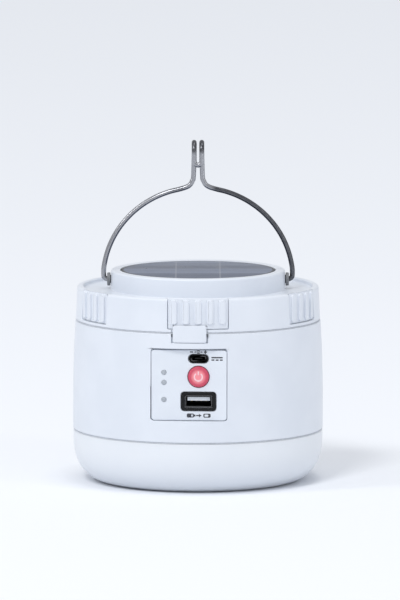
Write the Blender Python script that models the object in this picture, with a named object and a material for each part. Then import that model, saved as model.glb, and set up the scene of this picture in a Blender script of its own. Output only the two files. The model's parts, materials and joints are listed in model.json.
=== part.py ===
"""Solar camping lantern.

A round white housing with a milky light bowl below, a solar panel on a raised dais on
top, and a folding wire bail that ends in a hanging hook. The control panel on the
front holds a charging socket, a red push button and a USB outlet.

Units are metres and +Z is up. The control panel faces -Y, the bail turns about an axis
along X, and the origin is the centre of the flat underside of the light bowl.
"""
import math

import bmesh
import bpy
from mathutils import Matrix, Vector

# Driving dimensions
GAP = 0.0003                # left between pieces that touch
PAST = 0.001                # how far a cutter runs past the wall that it cuts
PAST_DRUM = 0.066           # radius of the cutters that come in from outside the drum
WALL = 0.0020               # moulded wall of the housing
AROUND = 40                 # sides of the large turned pieces
DISC_SIDES = 36             # sides of the flat discs

# Light bowl
BOWL_FLAT_RADIUS = 0.0455
BOWL_RADIUS = 0.0623
BOWL_CURVE_TOP = 0.0215
BOWL_CURVE_POWER = 2.2
BOWL_RIM_Z = 0.0256
SPIGOT_RADIUS = 0.0601
SPIGOT_TOP = 0.0292

# Body shell
BODY_BOTTOM = 0.0262
BODY_TOP = 0.0804
BODY_RADIUS = 0.0625
BODY_TOP_RADIUS = 0.06125
BORE_RADIUS = 0.06045
BORE_TOP_RADIUS = 0.0593
SEAL_SECTION = 0.0004
BOWL_SEAL_RADIUS = 0.06088
CAP_SEAL_RADIUS = 0.0596

# Cap with its raised dais
CAP_BOTTOM = 0.0810
CAP_RADIUS = 0.0611
RIM_RADIUS = 0.0603
RIM_TOP = 0.0977
SKIRT_BREAK = 0.0900        # height where the skirt starts to widen towards its bottom
CHANNEL_OUTER = 0.0570
CHANNEL_FLOOR = 0.0957
DAIS_RADIUS = 0.0435
DAIS_TOP = 0.1055
RECESS_RADIUS = 0.0388
LEDGE_RADIUS = 0.0358
LEDGE_TOP = 0.1021
LEDGE_BOTTOM = 0.10095
CAP_SPIGOT_RADIUS = 0.0589
CAP_SPIGOT_BOTTOM = 0.0775

# Solar panel stack, from the gasket up
GASKET_HEIGHT = 0.0004
SOLAR_BOARD_HEIGHT = 0.0008
CELL_HEIGHT = 0.0002
COVER_HEIGHT = 0.0006
SOLAR_RADIUS = 0.0384
CELL_RADIUS = 0.0376
CELL_PITCH = 0.0110
CELL_WIDTH = 0.0104
CELL_ROWS = 7
RIBBON_X = 0.0110           # the two ribbons that join the cells
RIBBON_LENGTH = 0.0680

# Snap clips round the cap
CLIP_BOTTOM = 0.0828
CLIP_TOP = 0.0979
CLIP_INNER = 0.0597
CLIP_FACE = 0.0604
RIB_HEIGHT = 0.0011
RIB_PITCH = 0.0060
RIB_WIDTH = 0.0032
FRONT_RIBS = 5
SIDE_RIBS = 4
SIDE_CLIP_FACE = 0.0600
SIDE_CLIP_ANGLES = {"left_clip": -60.0, "right_clip": 60.0, "rear_clip": 180.0}
TONGUE_CENTRE_X = -0.0042
TONGUE_WIDTH = 0.0168
TONGUE_SIDE_GAP = 0.0008
TONGUE_BOTTOM = 0.0761
TONGUE_INNER = 0.0609
TONGUE_FACE = 0.0615

# Wire bail and hook
WIRE_RADIUS = 0.00125
PIVOT_Z = 0.1006
BAIL_HALF_SPAN = 0.0474
BAIL_RISE = 0.0460
BAIL_END_X = 0.0413
BAIL_BEND = 0.0025
SHOULDER = 0.0466            # height of the arch's shoulder above the pivot
STEM_HALF_GAP = 0.00225
HOOK_HALF_GAP = 0.0019
STEM_TOP = 0.0646
HOOK_BEND = 0.0045
HOOK_TIP = 0.0600
BUSH_HOLE = WIRE_RADIUS + GAP
BUSH_RADIUS = 0.00215
BUSH_FLANGE_RADIUS = 0.0033
BUSH_FLANGE = 0.0016
BAIL_HOLE_DEPTH = 0.0027    # how far the bail's hole reaches into the dais wall

# Control panel, a flat facet turned a little to the left of the front
PANEL_TURN = math.radians(-4.3)
PANEL_WIDTH = 0.0379
PANEL_BOTTOM = 0.0370
PANEL_TOP = 0.0730
PANEL_CORNER = 0.0015
FACET_DEPTH = 0.05905       # from the lantern's axis to the face of the inlay
INLAY_THICKNESS = 0.00085
INLAY_SLOT = 0.0006         # extra room above the inlay, where it's levered out
POCKET_DEPTH = FACET_DEPTH - INLAY_THICKNESS - GAP
BLOCK_FRONT = 0.0612
BLOCK_LIMIT = 0.0609        # the block stops short of the drum's outer face
BLOCK_BACK = 0.0554
BLOCK_MARGIN = 0.0020
COLUMN_X = 0.0047           # column of sockets, from the panel's centre line
CHARGE_Z = 0.0680
BUTTON_Z = 0.0590
USB_Z = 0.0467
LAMP_X = -0.0124
LAMP_HEIGHTS = (0.0610, 0.0560, 0.0475)
BUTTON_RADIUS = 0.0052
BUTTON_TRAVEL_GAP = 0.0011
BUTTON_FRONT = 0.0603
BUTTON_FLANGE_RADIUS = 0.0068
LIGHT_PIPE_RADIUS = 0.0010
PIPE_HOLE_RADIUS = LIGHT_PIPE_RADIUS + GAP

# Sockets: width, height and corner radius
USB_SURROUND = (0.0172, 0.0092, 0.0015)
USB_WINDOW = (0.0137, 0.0063, 0.0006)
USB_SHELL = (0.0131, 0.0057, 0.0004)
USB_MOUTH = 0.0580          # from the lantern's axis to the shell's open end
CHARGE_SURROUND = (0.0098, 0.0042, 0.00209)
CHARGE_WINDOW = (0.0079, 0.0033, 0.0010)
CHARGE_SHELL = (0.0073, 0.0027, 0.0007)
CHARGE_MOUTH = 0.0584
SOCKET_SHEET = 0.0003       # folded steel of the socket shells

# Control board
BOARD_FRONT = 0.0445
BOARD_THICKNESS = 0.0016
BOARD_BACK = BOARD_FRONT - BOARD_THICKNESS
BOARD_WIDTH = 0.0370
BOARD_Z = (0.0375, 0.0745)
BOARD_POST_X = 0.0156
BOARD_POST_Z = (0.0410, 0.0710)
POST_RADIUS = 0.0028
SWITCH_SIZE = 0.0060
SWITCH_HEIGHT = 0.0035
PLUNGER_RADIUS = 0.00175
PLUNGER_END = 0.0519

# Light tray and light board
TRAY_RADIUS = 0.0601
TRAY_BOTTOM = 0.0295
TRAY_TOP = 0.0315
TRAY_SCREW_RADIUS = 0.0554
TRAY_SCREW_ANGLES = (30, 150, 225, 315)
LIGHT_BOARD_RADIUS = 0.0455
LIGHT_BOARD_Z = (0.0276, 0.0292)
LIGHT_SCREW_RADIUS = 0.0300
LIGHT_SCREW_ANGLES = (90, 210, 330)
LIGHT_RINGS = ((0.0380, 16), (0.0205, 8))
LEAD_HOLE_Y = -0.0080

# Battery
CELL_BODY_RADIUS = 0.0092
CELL_HALF_LENGTH = 0.0325
CELL_Y = (0.0125, 0.0315)
CRADLE_BOTTOM = 0.0360
CRADLE_FLOOR = 0.0378
CRADLE_TOP = 0.0500
CELL_Z = CRADLE_FLOOR + GAP + CELL_BODY_RADIUS
CRADLE_INNER_X = 0.0341
CRADLE_INNER_Y = (0.0030, 0.0410)
CRADLE_WALL = 0.0016
LUG_X = 0.0400
CONTACT_X = 0.0338
CONTACT_SHEET = 0.0004
CONTACT_REACH = 0.0048      # of the contact plates past the cells' axes
LUG_Y = 0.0200

# Fasteners: head radius, head height, shank radius
SCREW = (0.0024, 0.0016, 0.0012)
SMALL_SCREW = (0.0020, 0.0014, 0.0009)
SCREW_SIDES = 12
LEAD_RADIUS = 0.0006

UP = Matrix.Identity(4)
OUTWARD = Matrix.Rotation(math.radians(90), 4, "X")     # local Z points to -Y


# Tools
def clear_scene():
    for thing in list(bpy.data.objects):
        bpy.data.objects.remove(thing, do_unlink=True)


def material(name, colour, roughness, metallic=0.0, alpha=1.0):
    mat = bpy.data.materials.new(name)
    mat.use_nodes = True
    shader = mat.node_tree.nodes["Principled BSDF"]
    shader.inputs["Base Color"].default_value = (*colour, 1.0)
    shader.inputs["Roughness"].default_value = roughness
    shader.inputs["Metallic"].default_value = metallic
    shader.inputs["Alpha"].default_value = alpha
    mat.diffuse_color = (*colour, alpha)
    return mat


def make(name, bm, mat, parent=None, place=(0.0, 0.0, 0.0)):
    """Turn a bmesh into a named object, with its faces outwards and round faces smooth."""
    bmesh.ops.recalc_face_normals(bm, faces=bm.faces[:])
    mesh = bpy.data.meshes.new(name)
    bm.to_mesh(mesh)
    bm.free()
    mesh.shade_smooth()
    mesh.set_sharp_from_angle(angle=math.radians(32))
    obj = bpy.data.objects.new(name, mesh)
    obj.location = place
    obj.parent = parent
    if mat is not None:
        mesh.materials.append(mat)
    bpy.context.scene.collection.objects.link(obj)
    return obj


def tool(name, bm, parent=None):
    """A shape that only cuts or joins other pieces."""
    obj = make(name, bm, None, parent)
    obj.hide_render = True
    obj.display_type = "WIRE"
    return obj


def combine(obj, other, operation):
    step = obj.modifiers.new(other.name, "BOOLEAN")
    step.operation = operation
    step.solver = "EXACT"
    step.object = other


def turned(bm, profile, place=UP, sides=AROUND, ring=False):
    """Spin a profile of (radius, height) points round local Z. A ring's profile closes on itself."""
    verts = [bm.verts.new(place @ Vector((r, 0.0, z))) for r, z in profile]
    edges = [bm.edges.new(pair) for pair in zip(verts, verts[1:])]
    if ring:
        edges.append(bm.edges.new((verts[-1], verts[0])))
    axis = place.to_3x3() @ Vector((0.0, 0.0, 1.0))
    bmesh.ops.spin(bm, geom=verts + edges, cent=place.translation, axis=axis,
                   dvec=(0.0, 0.0, 0.0), angle=math.tau, steps=sides, use_merge=True)
    bmesh.ops.remove_doubles(bm, verts=bm.verts[:], dist=1e-6)


def prism(bm, outline, low, high, place=UP):
    """Extrude a flat outline of (x, y) points from low to high along local Z."""
    base = [bm.verts.new(place @ Vector((x, y, low))) for x, y in outline]
    face = bm.faces.new(base)
    swept = bmesh.ops.extrude_face_region(bm, geom=[face], use_keep_orig=True)
    moved = [v for v in swept["geom"] if isinstance(v, bmesh.types.BMVert)]
    bmesh.ops.translate(bm, verts=moved, vec=place.to_3x3() @ Vector((0.0, 0.0, high - low)))


def circle(radius, sides, x=0.0, y=0.0):
    return [(x + radius * math.cos(math.tau * k / sides), y + radius * math.sin(math.tau * k / sides))
            for k in range(sides)]


def rectangle(x0, x1, y0, y1):
    return [(x0, y0), (x1, y0), (x1, y1), (x0, y1)]


def rounded(width, height, radius, x=0.0, y=0.0, steps=4):
    """Rounded rectangle about (x, y)."""
    points = []
    for quarter, (sx, sy) in enumerate(((1, 1), (-1, 1), (-1, -1), (1, -1))):
        cx = x + sx * (width / 2 - radius)
        cy = y + sy * (height / 2 - radius)
        for k in range(steps + 1):
            angle = math.radians(90) * (quarter + k / steps)
            points.append((cx + radius * math.cos(angle), cy + radius * math.sin(angle)))
    return points


def on_drum(radius, angle):
    """Plan point at a radius and an angle in radians from the front, positive towards +X."""
    return (radius * math.sin(angle), -radius * math.cos(angle))


def sector(inner, outer, start, end, steps=8):
    """Plan outline of a curved plate between two radii and two angles from the front."""
    angles = [start + (end - start) * k / steps for k in range(steps + 1)]
    face = [on_drum(outer, a) for a in angles]
    back = [on_drum(inner, a) for a in reversed(angles)]
    return face + back


def ribbed_sector(inner, face, half_angle, ribs):
    """Plan outline of a curved plate whose outer face carries upright ribs."""
    outline = [on_drum(face, -half_angle)]
    for k in range(ribs):
        centre = (k - (ribs - 1) / 2) * RIB_PITCH / face
        half = RIB_WIDTH / 2 / face
        outline.append(on_drum(face, centre - half))
        outline.append(on_drum(face + RIB_HEIGHT, centre - 0.55 * half))
        outline.append(on_drum(face + RIB_HEIGHT, centre + 0.55 * half))
        outline.append(on_drum(face, centre + half))
    outline.append(on_drum(face, half_angle))
    steps = 3 * ribs
    outline += [on_drum(inner, half_angle * (1 - 2 * k / steps)) for k in range(steps + 1)]
    return outline


def on_panel(x, depth, z):
    """World point from a place in the turned frame of the control panel."""
    return Matrix.Rotation(PANEL_TURN, 3, "Z") @ Vector((x, -depth, z))


def around(radius, degrees):
    angle = math.radians(degrees)
    return radius * math.cos(angle), radius * math.sin(angle)


def smooth_route(points, spacing):
    """Points read from a smooth curve through a route's own points."""
    route = [Vector(p) for p in points]
    ends = [2 * route[0] - route[1], *route, 2 * route[-1] - route[-2]]
    line = []
    for a, b, c, d in zip(ends, ends[1:], ends[2:], ends[3:]):
        steps = max(1, round((c - b).length / spacing))
        for k in range(steps):
            t = k / steps
            bend = (2 * b + (c - a) * t + (2 * a - 5 * b + 4 * c - d) * t * t
                    + (3 * b - a - 3 * c + d) * t ** 3)
            line.append(bend / 2)
    line.append(route[-1])
    return line


def tube(name, points, radius, mat, place=(0.0, 0.0, 0.0)):
    curve = bpy.data.curves.new(name, "CURVE")
    curve.dimensions = "3D"
    curve.bevel_depth = radius
    curve.bevel_resolution = 2
    curve.use_fill_caps = True
    curve.render_resolution_u = 0
    spline = curve.splines.new("POLY")
    spline.points.add(len(points) - 1)
    for target, point in zip(spline.points, points):
        target.co = (*point, 1.0)
    curve.materials.append(mat)
    obj = bpy.data.objects.new(name, curve)
    obj.location = place
    bpy.context.scene.collection.objects.link(obj)
    return obj


def screws(name, size, length, places, mat, parent=None):
    """Pan-head screws that share one mesh. The head is above local Z = 0, the shank below it."""
    head, height, shank = size
    crown = 0.8 * head
    bm = bmesh.new()
    turned(bm, [(0.0, height), (crown, height), (head, 0.5 * height), (head, 0.0),
                (shank, 0.0), (shank, -length), (0.0, -length)], sides=SCREW_SIDES)
    first = make(f"{name}_1", bm, mat, parent)
    first.matrix_local = places[0]
    for number, place in enumerate(places[1:], start=2):
        copy = bpy.data.objects.new(f"{name}_{number}", first.data)
        copy.parent = parent
        copy.matrix_local = place
        bpy.context.scene.collection.objects.link(copy)


# Light bowl
def bowl_curve(flat, reach, top, bottom, steps=6):
    """Rounded lower edge, from its upright top down to the flat."""
    power = 2 / BOWL_CURVE_POWER
    points = []
    for k in range(steps + 1):
        angle = math.radians(90) * k / steps
        radius = flat + reach * math.cos(angle) ** power
        points.append((radius, top - (top - bottom) * math.sin(angle) ** power))
    return points


def diffuser_bowl(mat):
    spigot_inner = SPIGOT_RADIUS - 0.0015
    outer = [(BOWL_RADIUS - 0.0004, BOWL_RIM_Z), (BOWL_RADIUS, BOWL_RIM_Z - 0.0004)]
    outer += bowl_curve(BOWL_FLAT_RADIUS, BOWL_RADIUS - BOWL_FLAT_RADIUS, BOWL_CURVE_TOP, 0.0)
    inner = bowl_curve(BOWL_FLAT_RADIUS, BOWL_RADIUS - BOWL_FLAT_RADIUS - WALL, BOWL_CURVE_TOP, WALL)
    inner.append((spigot_inner, BOWL_CURVE_TOP + 0.002))
    inner.sort(key=lambda point: point[1])
    profile = outer + [(0.0, 0.0), (0.0, WALL)] + inner
    profile += [(spigot_inner, SPIGOT_TOP), (SPIGOT_RADIUS, SPIGOT_TOP), (SPIGOT_RADIUS, BOWL_RIM_Z)]
    bm = bmesh.new()
    turned(bm, profile, ring=True)
    make("diffuser_bowl", bm, mat)


def seal(name, radius, height, mat):
    bm = bmesh.new()
    section = circle(SEAL_SECTION, 5, radius, height)
    turned(bm, section, ring=True)
    make(name, bm, mat)


# Body shell
def body_shell(mat, panel):
    seal_low = BODY_BOTTOM + 0.0018
    seal_high = BODY_TOP - 0.0016
    profile = [(BODY_RADIUS - 0.0003, BODY_BOTTOM), (BODY_RADIUS, BODY_BOTTOM + 0.0006),
               (BODY_RADIUS, 0.040), (0.0623, 0.055), (0.0619, 0.068), (BODY_TOP_RADIUS, BODY_TOP - 0.0004),
               (BODY_TOP_RADIUS - 0.0003, BODY_TOP), (0.0603, BODY_TOP), (0.0603, seal_high),
               (BORE_TOP_RADIUS, seal_high), (BORE_RADIUS, 0.050), (BORE_RADIUS, seal_low),
               (0.0616, seal_low), (0.0616, BODY_BOTTOM)]
    bm = bmesh.new()
    turned(bm, profile, ring=True)
    shell = make("body_shell", bm, mat)

    half = PANEL_WIDTH / 2
    bm = bmesh.new()
    prism(bm, rectangle(-half - 0.001, half + 0.001, PANEL_BOTTOM - BLOCK_MARGIN, PANEL_TOP + BLOCK_MARGIN),
          BLOCK_BACK, BLOCK_FRONT, OUTWARD)
    block = tool("panel_block", bm, panel)
    bm = bmesh.new()
    prism(bm, circle(BLOCK_LIMIT, 3 * AROUND), PANEL_BOTTOM - 0.01, PANEL_TOP + 0.01)
    combine(block, tool("block_limit", bm), "INTERSECT")
    combine(shell, block, "UNION")

    bm = bmesh.new()
    for x, z in board_posts():
        prism(bm, circle(POST_RADIUS, SCREW_SIDES, x, z), BOARD_FRONT + GAP, BLOCK_BACK + 0.0015, OUTWARD)
    combine(shell, tool("board_posts", bm, panel), "UNION")

    bm = bmesh.new()
    for degrees in TRAY_SCREW_ANGLES:
        prism(bm, rectangle(TRAY_SCREW_RADIUS - 0.0034, 0.0612, -0.0034, 0.0034), TRAY_TOP + GAP, 0.044,
              Matrix.Rotation(math.radians(degrees), 4, "Z"))
    combine(shell, tool("tray_bosses", bm), "UNION")

    middle = (PANEL_BOTTOM + PANEL_TOP) / 2
    bm = bmesh.new()
    prism(bm, rounded(PANEL_WIDTH, PANEL_TOP - PANEL_BOTTOM, PANEL_CORNER, 0.0, middle),
          POCKET_DEPTH, PAST_DRUM, OUTWARD)
    combine(shell, tool("panel_pocket", bm, panel), "DIFFERENCE")

    bm = bmesh.new()
    for outline in socket_holes():
        prism(bm, outline, BLOCK_BACK - 0.002, POCKET_DEPTH + PAST, OUTWARD)
    for x, z in board_posts():
        prism(bm, circle(SMALL_SCREW[2] + GAP, SCREW_SIDES, x, z), BOARD_FRONT - 0.002, 0.0530, OUTWARD)
    combine(shell, tool("panel_holes", bm, panel), "DIFFERENCE")

    bm = bmesh.new()
    for degrees in TRAY_SCREW_ANGLES:
        x, y = around(TRAY_SCREW_RADIUS, degrees)
        prism(bm, circle(SCREW[2] + GAP, SCREW_SIDES, x, y), TRAY_TOP - 0.002, 0.042)
    half_angle = (TONGUE_WIDTH / 2 + TONGUE_SIDE_GAP) / TONGUE_FACE
    middle_angle = TONGUE_CENTRE_X / TONGUE_FACE
    prism(bm, sector(TONGUE_INNER - GAP, PAST_DRUM, middle_angle - half_angle, middle_angle + half_angle),
          TONGUE_BOTTOM - GAP, BODY_TOP + 0.002)
    combine(shell, tool("body_holes", bm), "DIFFERENCE")


def board_posts():
    return [(side * BOARD_POST_X, z) for side in (-1, 1) for z in BOARD_POST_Z]


def socket_holes():
    """Openings behind the inlay: charging socket, button, USB outlet and indicator lamps."""
    holes = [rounded(*CHARGE_WINDOW, COLUMN_X, CHARGE_Z, 3),
             circle(BUTTON_RADIUS + GAP, 24, COLUMN_X, BUTTON_Z),
             rounded(*USB_WINDOW, COLUMN_X, USB_Z, 2)]
    holes += [circle(PIPE_HOLE_RADIUS, 12, LAMP_X, z) for z in LAMP_HEIGHTS]
    return holes


def clearance(size):
    """Outline round a socket's surround, one gap larger on every side."""
    width, height, corner = size
    return width + 2 * GAP, height + 2 * GAP, corner + GAP


# Control panel
def control_panel(mats, panel):
    middle = (PANEL_BOTTOM + PANEL_TOP - INLAY_SLOT) / 2
    width = PANEL_WIDTH - 2 * GAP
    height = PANEL_TOP - PANEL_BOTTOM - INLAY_SLOT - 2 * GAP
    back = FACET_DEPTH - INLAY_THICKNESS
    bm = bmesh.new()
    prism(bm, rounded(width, height, PANEL_CORNER, 0.0, middle), back, FACET_DEPTH, OUTWARD)
    inlay = make("control_panel", bm, mats["white"], panel)
    bm = bmesh.new()
    windows = [rounded(*clearance(CHARGE_SURROUND), COLUMN_X, CHARGE_Z),
               circle(BUTTON_RADIUS + GAP, 24, COLUMN_X, BUTTON_Z),
               rounded(*clearance(USB_SURROUND), COLUMN_X, USB_Z)]
    windows += [circle(PIPE_HOLE_RADIUS, 12, LAMP_X, z) for z in LAMP_HEIGHTS]
    for outline in windows:
        prism(bm, outline, back - PAST, FACET_DEPTH + PAST, OUTWARD)
    combine(inlay, tool("inlay_windows", bm, panel), "DIFFERENCE")

    socket(panel, mats, "usb", USB_Z, USB_SURROUND, USB_WINDOW, USB_SHELL, USB_MOUTH)
    socket(panel, mats, "charge", CHARGE_Z, CHARGE_SURROUND, CHARGE_WINDOW, CHARGE_SHELL, CHARGE_MOUTH)

    # The outlet's white tongue lies in the upper half of its shell.
    bm = bmesh.new()
    prism(bm, rectangle(COLUMN_X - 0.00555, COLUMN_X + 0.00555, USB_Z + 0.00025, USB_Z + 0.0020),
          BOARD_FRONT + 0.0012, 0.0573, OUTWARD)
    make("usb_tongue", bm, mats["white"], panel)
    bm = bmesh.new()
    prism(bm, rectangle(COLUMN_X - 0.0018, COLUMN_X + 0.0018, CHARGE_Z - 0.0003, CHARGE_Z + 0.0003),
          BOARD_FRONT + 0.0012, 0.0578, OUTWARD)
    make("charge_tongue", bm, mats["black"], panel)

    # The three light pipes hang on one bar behind the block.
    bm = bmesh.new()
    prism(bm, rectangle(LAMP_X - 0.0014, LAMP_X + 0.0014, min(LAMP_HEIGHTS) - 0.0016,
                        max(LAMP_HEIGHTS) + 0.0016), 0.0538, 0.0550, OUTWARD)
    pipes = make("indicator_light_pipes", bm, mats["clear"], panel)
    bm = bmesh.new()
    for z in LAMP_HEIGHTS:
        turned(bm, [(0.0, 0.0593), (0.0006, 0.0593), (LIGHT_PIPE_RADIUS, 0.0590),
                    (LIGHT_PIPE_RADIUS, 0.0462), (0.0, 0.0462)],
               Matrix.Translation((LAMP_X, 0.0, z)) @ OUTWARD, 10)
    combine(pipes, tool("light_pipe_rods", bm, panel), "UNION")


def socket(panel, mats, kind, height, surround, window, shell, mouth):
    """A black surround in the inlay, and the folded steel shell behind it."""
    bm = bmesh.new()
    prism(bm, rounded(*surround, COLUMN_X, height), FACET_DEPTH - INLAY_THICKNESS, FACET_DEPTH + 0.0003,
          OUTWARD)
    frame = make(f"{kind}_surround", bm, mats["black"], panel)
    bm = bmesh.new()
    prism(bm, rounded(*window, COLUMN_X, height, 3), FACET_DEPTH - 0.002, FACET_DEPTH + PAST, OUTWARD)
    combine(frame, tool(f"{kind}_window", bm, panel), "DIFFERENCE")
    bm = bmesh.new()
    prism(bm, rounded(*shell, COLUMN_X, height, 2), BOARD_FRONT + GAP, mouth, OUTWARD)
    case = make(f"{kind}_shell", bm, mats["steel"], panel)
    bm = bmesh.new()
    inside = (shell[0] - 2 * SOCKET_SHEET, shell[1] - 2 * SOCKET_SHEET, shell[2] - SOCKET_SHEET / 2)
    prism(bm, rounded(*inside, COLUMN_X, height, 2), BOARD_FRONT + 0.0008, mouth + PAST, OUTWARD)
    combine(case, tool(f"{kind}_cavity", bm, panel), "DIFFERENCE")


def power_button(mats, panel):
    """Push button. Its origin is on its own axis, at the face of the panel."""
    flange_front = BLOCK_BACK - GAP - FACET_DEPTH
    flange_back = flange_front - 0.0010
    front = BUTTON_FRONT - FACET_DEPTH
    stem_end = PLUNGER_END + BUTTON_TRAVEL_GAP - FACET_DEPTH
    stem = 0.0017
    bm = bmesh.new()
    turned(bm, [(0.0, front), (0.0030, front - 0.0001), (0.0045, front - 0.0004),
                (BUTTON_RADIUS, front - 0.0011), (BUTTON_RADIUS, flange_front),
                (BUTTON_FLANGE_RADIUS, flange_front), (BUTTON_FLANGE_RADIUS, flange_back),
                (stem, flange_back), (stem, stem_end), (0.0, stem_end)], OUTWARD, 24)
    make("power_button", bm, mats["red"], panel, (COLUMN_X, -FACET_DEPTH, BUTTON_Z))


# Control board
def control_board(mats, panel):
    half = BOARD_WIDTH / 2
    bm = bmesh.new()
    prism(bm, rectangle(-half, half, *BOARD_Z), BOARD_BACK, BOARD_FRONT, OUTWARD)
    board = make("control_board", bm, mats["board"], panel)
    bm = bmesh.new()
    for x, z in board_posts():
        prism(bm, circle(0.0013, SCREW_SIDES, x, z), BOARD_BACK - PAST, BOARD_FRONT + PAST, OUTWARD)
    combine(board, tool("board_holes", bm, panel), "DIFFERENCE")
    bm = bmesh.new()
    for z in LAMP_HEIGHTS:
        prism(bm, rectangle(LAMP_X - 0.0008, LAMP_X + 0.0008, z - 0.0004, z + 0.0004),
              BOARD_FRONT - 0.0002, BOARD_FRONT + 0.0008, OUTWARD)
    combine(board, tool("indicator_lamps", bm, panel), "UNION")

    inward = Matrix.Rotation(math.radians(-90), 4, "X")
    places = [Matrix.Translation((x, -(BOARD_BACK - GAP), z)) @ inward for x, z in board_posts()]
    screws("board_screw", SMALL_SCREW, 0.0094, places, mats["steel"], panel)

    bm = bmesh.new()
    base = BOARD_FRONT + GAP
    prism(bm, rounded(SWITCH_SIZE, SWITCH_SIZE, 0.0005, COLUMN_X, BUTTON_Z, 1), base, base + SWITCH_HEIGHT,
          OUTWARD)
    switch = make("tact_switch", bm, mats["black"], panel)
    bm = bmesh.new()
    prism(bm, circle(PLUNGER_RADIUS, 12, COLUMN_X, BUTTON_Z), base + 0.0020, PLUNGER_END, OUTWARD)
    combine(switch, tool("switch_plunger", bm, panel), "UNION")

    behind = BOARD_BACK - GAP
    for name, x, z in (("charge_chip", -0.0080, 0.0495), ("driver_chip", 0.0085, 0.0665)):
        bm = bmesh.new()
        prism(bm, rectangle(x - 0.0025, x + 0.0025, z - 0.0020, z + 0.0020), behind - 0.0016, behind,
              OUTWARD)
        make(name, bm, mats["black"], panel)
    bm = bmesh.new()
    turned(bm, [(0.0, behind), (0.0045, behind), (0.0045, behind - 0.0010), (0.0036, behind - 0.0014),
                (0.0036, behind - 0.0034), (0.0045, behind - 0.0038), (0.0045, behind - 0.0046),
                (0.0, behind - 0.0046)], Matrix.Translation((0.0085, 0.0, 0.0520)) @ OUTWARD, 16)
    make("boost_inductor", bm, mats["ferrite"], panel)
    for name, x, z in (("input_capacitor", -0.0085, 0.0655), ("output_capacitor", -0.0010, 0.0500)):
        bm = bmesh.new()
        turned(bm, [(0.0, behind), (0.0025, behind), (0.0025, behind - 0.0062), (0.0021, behind - 0.0066),
                    (0.0, behind - 0.0066)], Matrix.Translation((x, 0.0, z)) @ OUTWARD, 12)
        make(name, bm, mats["aluminium"], panel)


# Cap, dais and clips
def top_cap(mat):
    inner = RIM_RADIUS - WALL
    spigot_inner = CAP_SPIGOT_RADIUS - 0.0017
    floor_under = CHANNEL_FLOOR - WALL
    profile = [(RECESS_RADIUS, LEDGE_TOP), (RECESS_RADIUS, DAIS_TOP - 0.0003),
               (RECESS_RADIUS + 0.0003, DAIS_TOP), (DAIS_RADIUS - 0.0008, DAIS_TOP),
               (DAIS_RADIUS - 0.0002, DAIS_TOP - 0.0003), (DAIS_RADIUS, DAIS_TOP - 0.0009),
               (DAIS_RADIUS, CHANNEL_FLOOR), (CHANNEL_OUTER, CHANNEL_FLOOR),
               (CHANNEL_OUTER + 0.0002, RIM_TOP - 0.0005), (CHANNEL_OUTER + 0.0008, RIM_TOP),
               (RIM_RADIUS - 0.0014, RIM_TOP), (RIM_RADIUS - 0.0004, RIM_TOP - 0.0005),
               (RIM_RADIUS, RIM_TOP - 0.0015), (RIM_RADIUS + 0.0003, SKIRT_BREAK),
               (CAP_RADIUS, CAP_BOTTOM + 0.0004), (CAP_RADIUS - 0.0003, CAP_BOTTOM),
               (CAP_SPIGOT_RADIUS, CAP_BOTTOM), (CAP_SPIGOT_RADIUS, CAP_SPIGOT_BOTTOM),
               (spigot_inner, CAP_SPIGOT_BOTTOM), (spigot_inner, 0.0825), (inner, 0.0837),
               (inner, floor_under), (DAIS_RADIUS - WALL, floor_under),
               (DAIS_RADIUS - WALL, LEDGE_BOTTOM), (LEDGE_RADIUS, LEDGE_BOTTOM),
               (LEDGE_RADIUS, LEDGE_TOP)]
    bm = bmesh.new()
    turned(bm, profile, ring=True)
    cap = make("top_cap", bm, mat)

    bm = bmesh.new()
    half_angle = front_half_angle() + GAP / CLIP_FACE
    prism(bm, sector(CLIP_INNER - GAP, PAST_DRUM, -half_angle, half_angle, 12),
          CLIP_BOTTOM - GAP, RIM_TOP + 0.002)
    for degrees in SIDE_CLIP_ANGLES.values():
        middle = math.radians(degrees)
        half_angle = side_half_angle() + GAP / CLIP_FACE
        prism(bm, sector(CLIP_INNER - GAP, PAST_DRUM, middle - half_angle, middle + half_angle),
              CLIP_BOTTOM - GAP, RIM_TOP + 0.002)
    combine(cap, tool("clip_pockets", bm), "DIFFERENCE")

    bm = bmesh.new()
    half_angle = (TONGUE_WIDTH / 2 + TONGUE_SIDE_GAP) / TONGUE_FACE
    middle = TONGUE_CENTRE_X / TONGUE_FACE
    prism(bm, sector(TONGUE_INNER - 2 * GAP, PAST_DRUM, middle - half_angle, middle + half_angle),
          CAP_BOTTOM - 0.001, CLIP_BOTTOM + 0.002)
    combine(cap, tool("tongue_slot", bm), "DIFFERENCE")

    bm = bmesh.new()
    for side in (-1, 1):
        prism(bm, circle(BUSH_RADIUS + GAP, 16), DAIS_RADIUS - BAIL_HOLE_DEPTH, DAIS_RADIUS + 0.002,
              pivot_frame(side))
    combine(cap, tool("bail_holes", bm), "DIFFERENCE")


def front_half_angle():
    return FRONT_RIBS * RIB_PITCH / 2 / CLIP_FACE


def side_half_angle():
    return SIDE_RIBS * RIB_PITCH / 2 / CLIP_FACE


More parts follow.
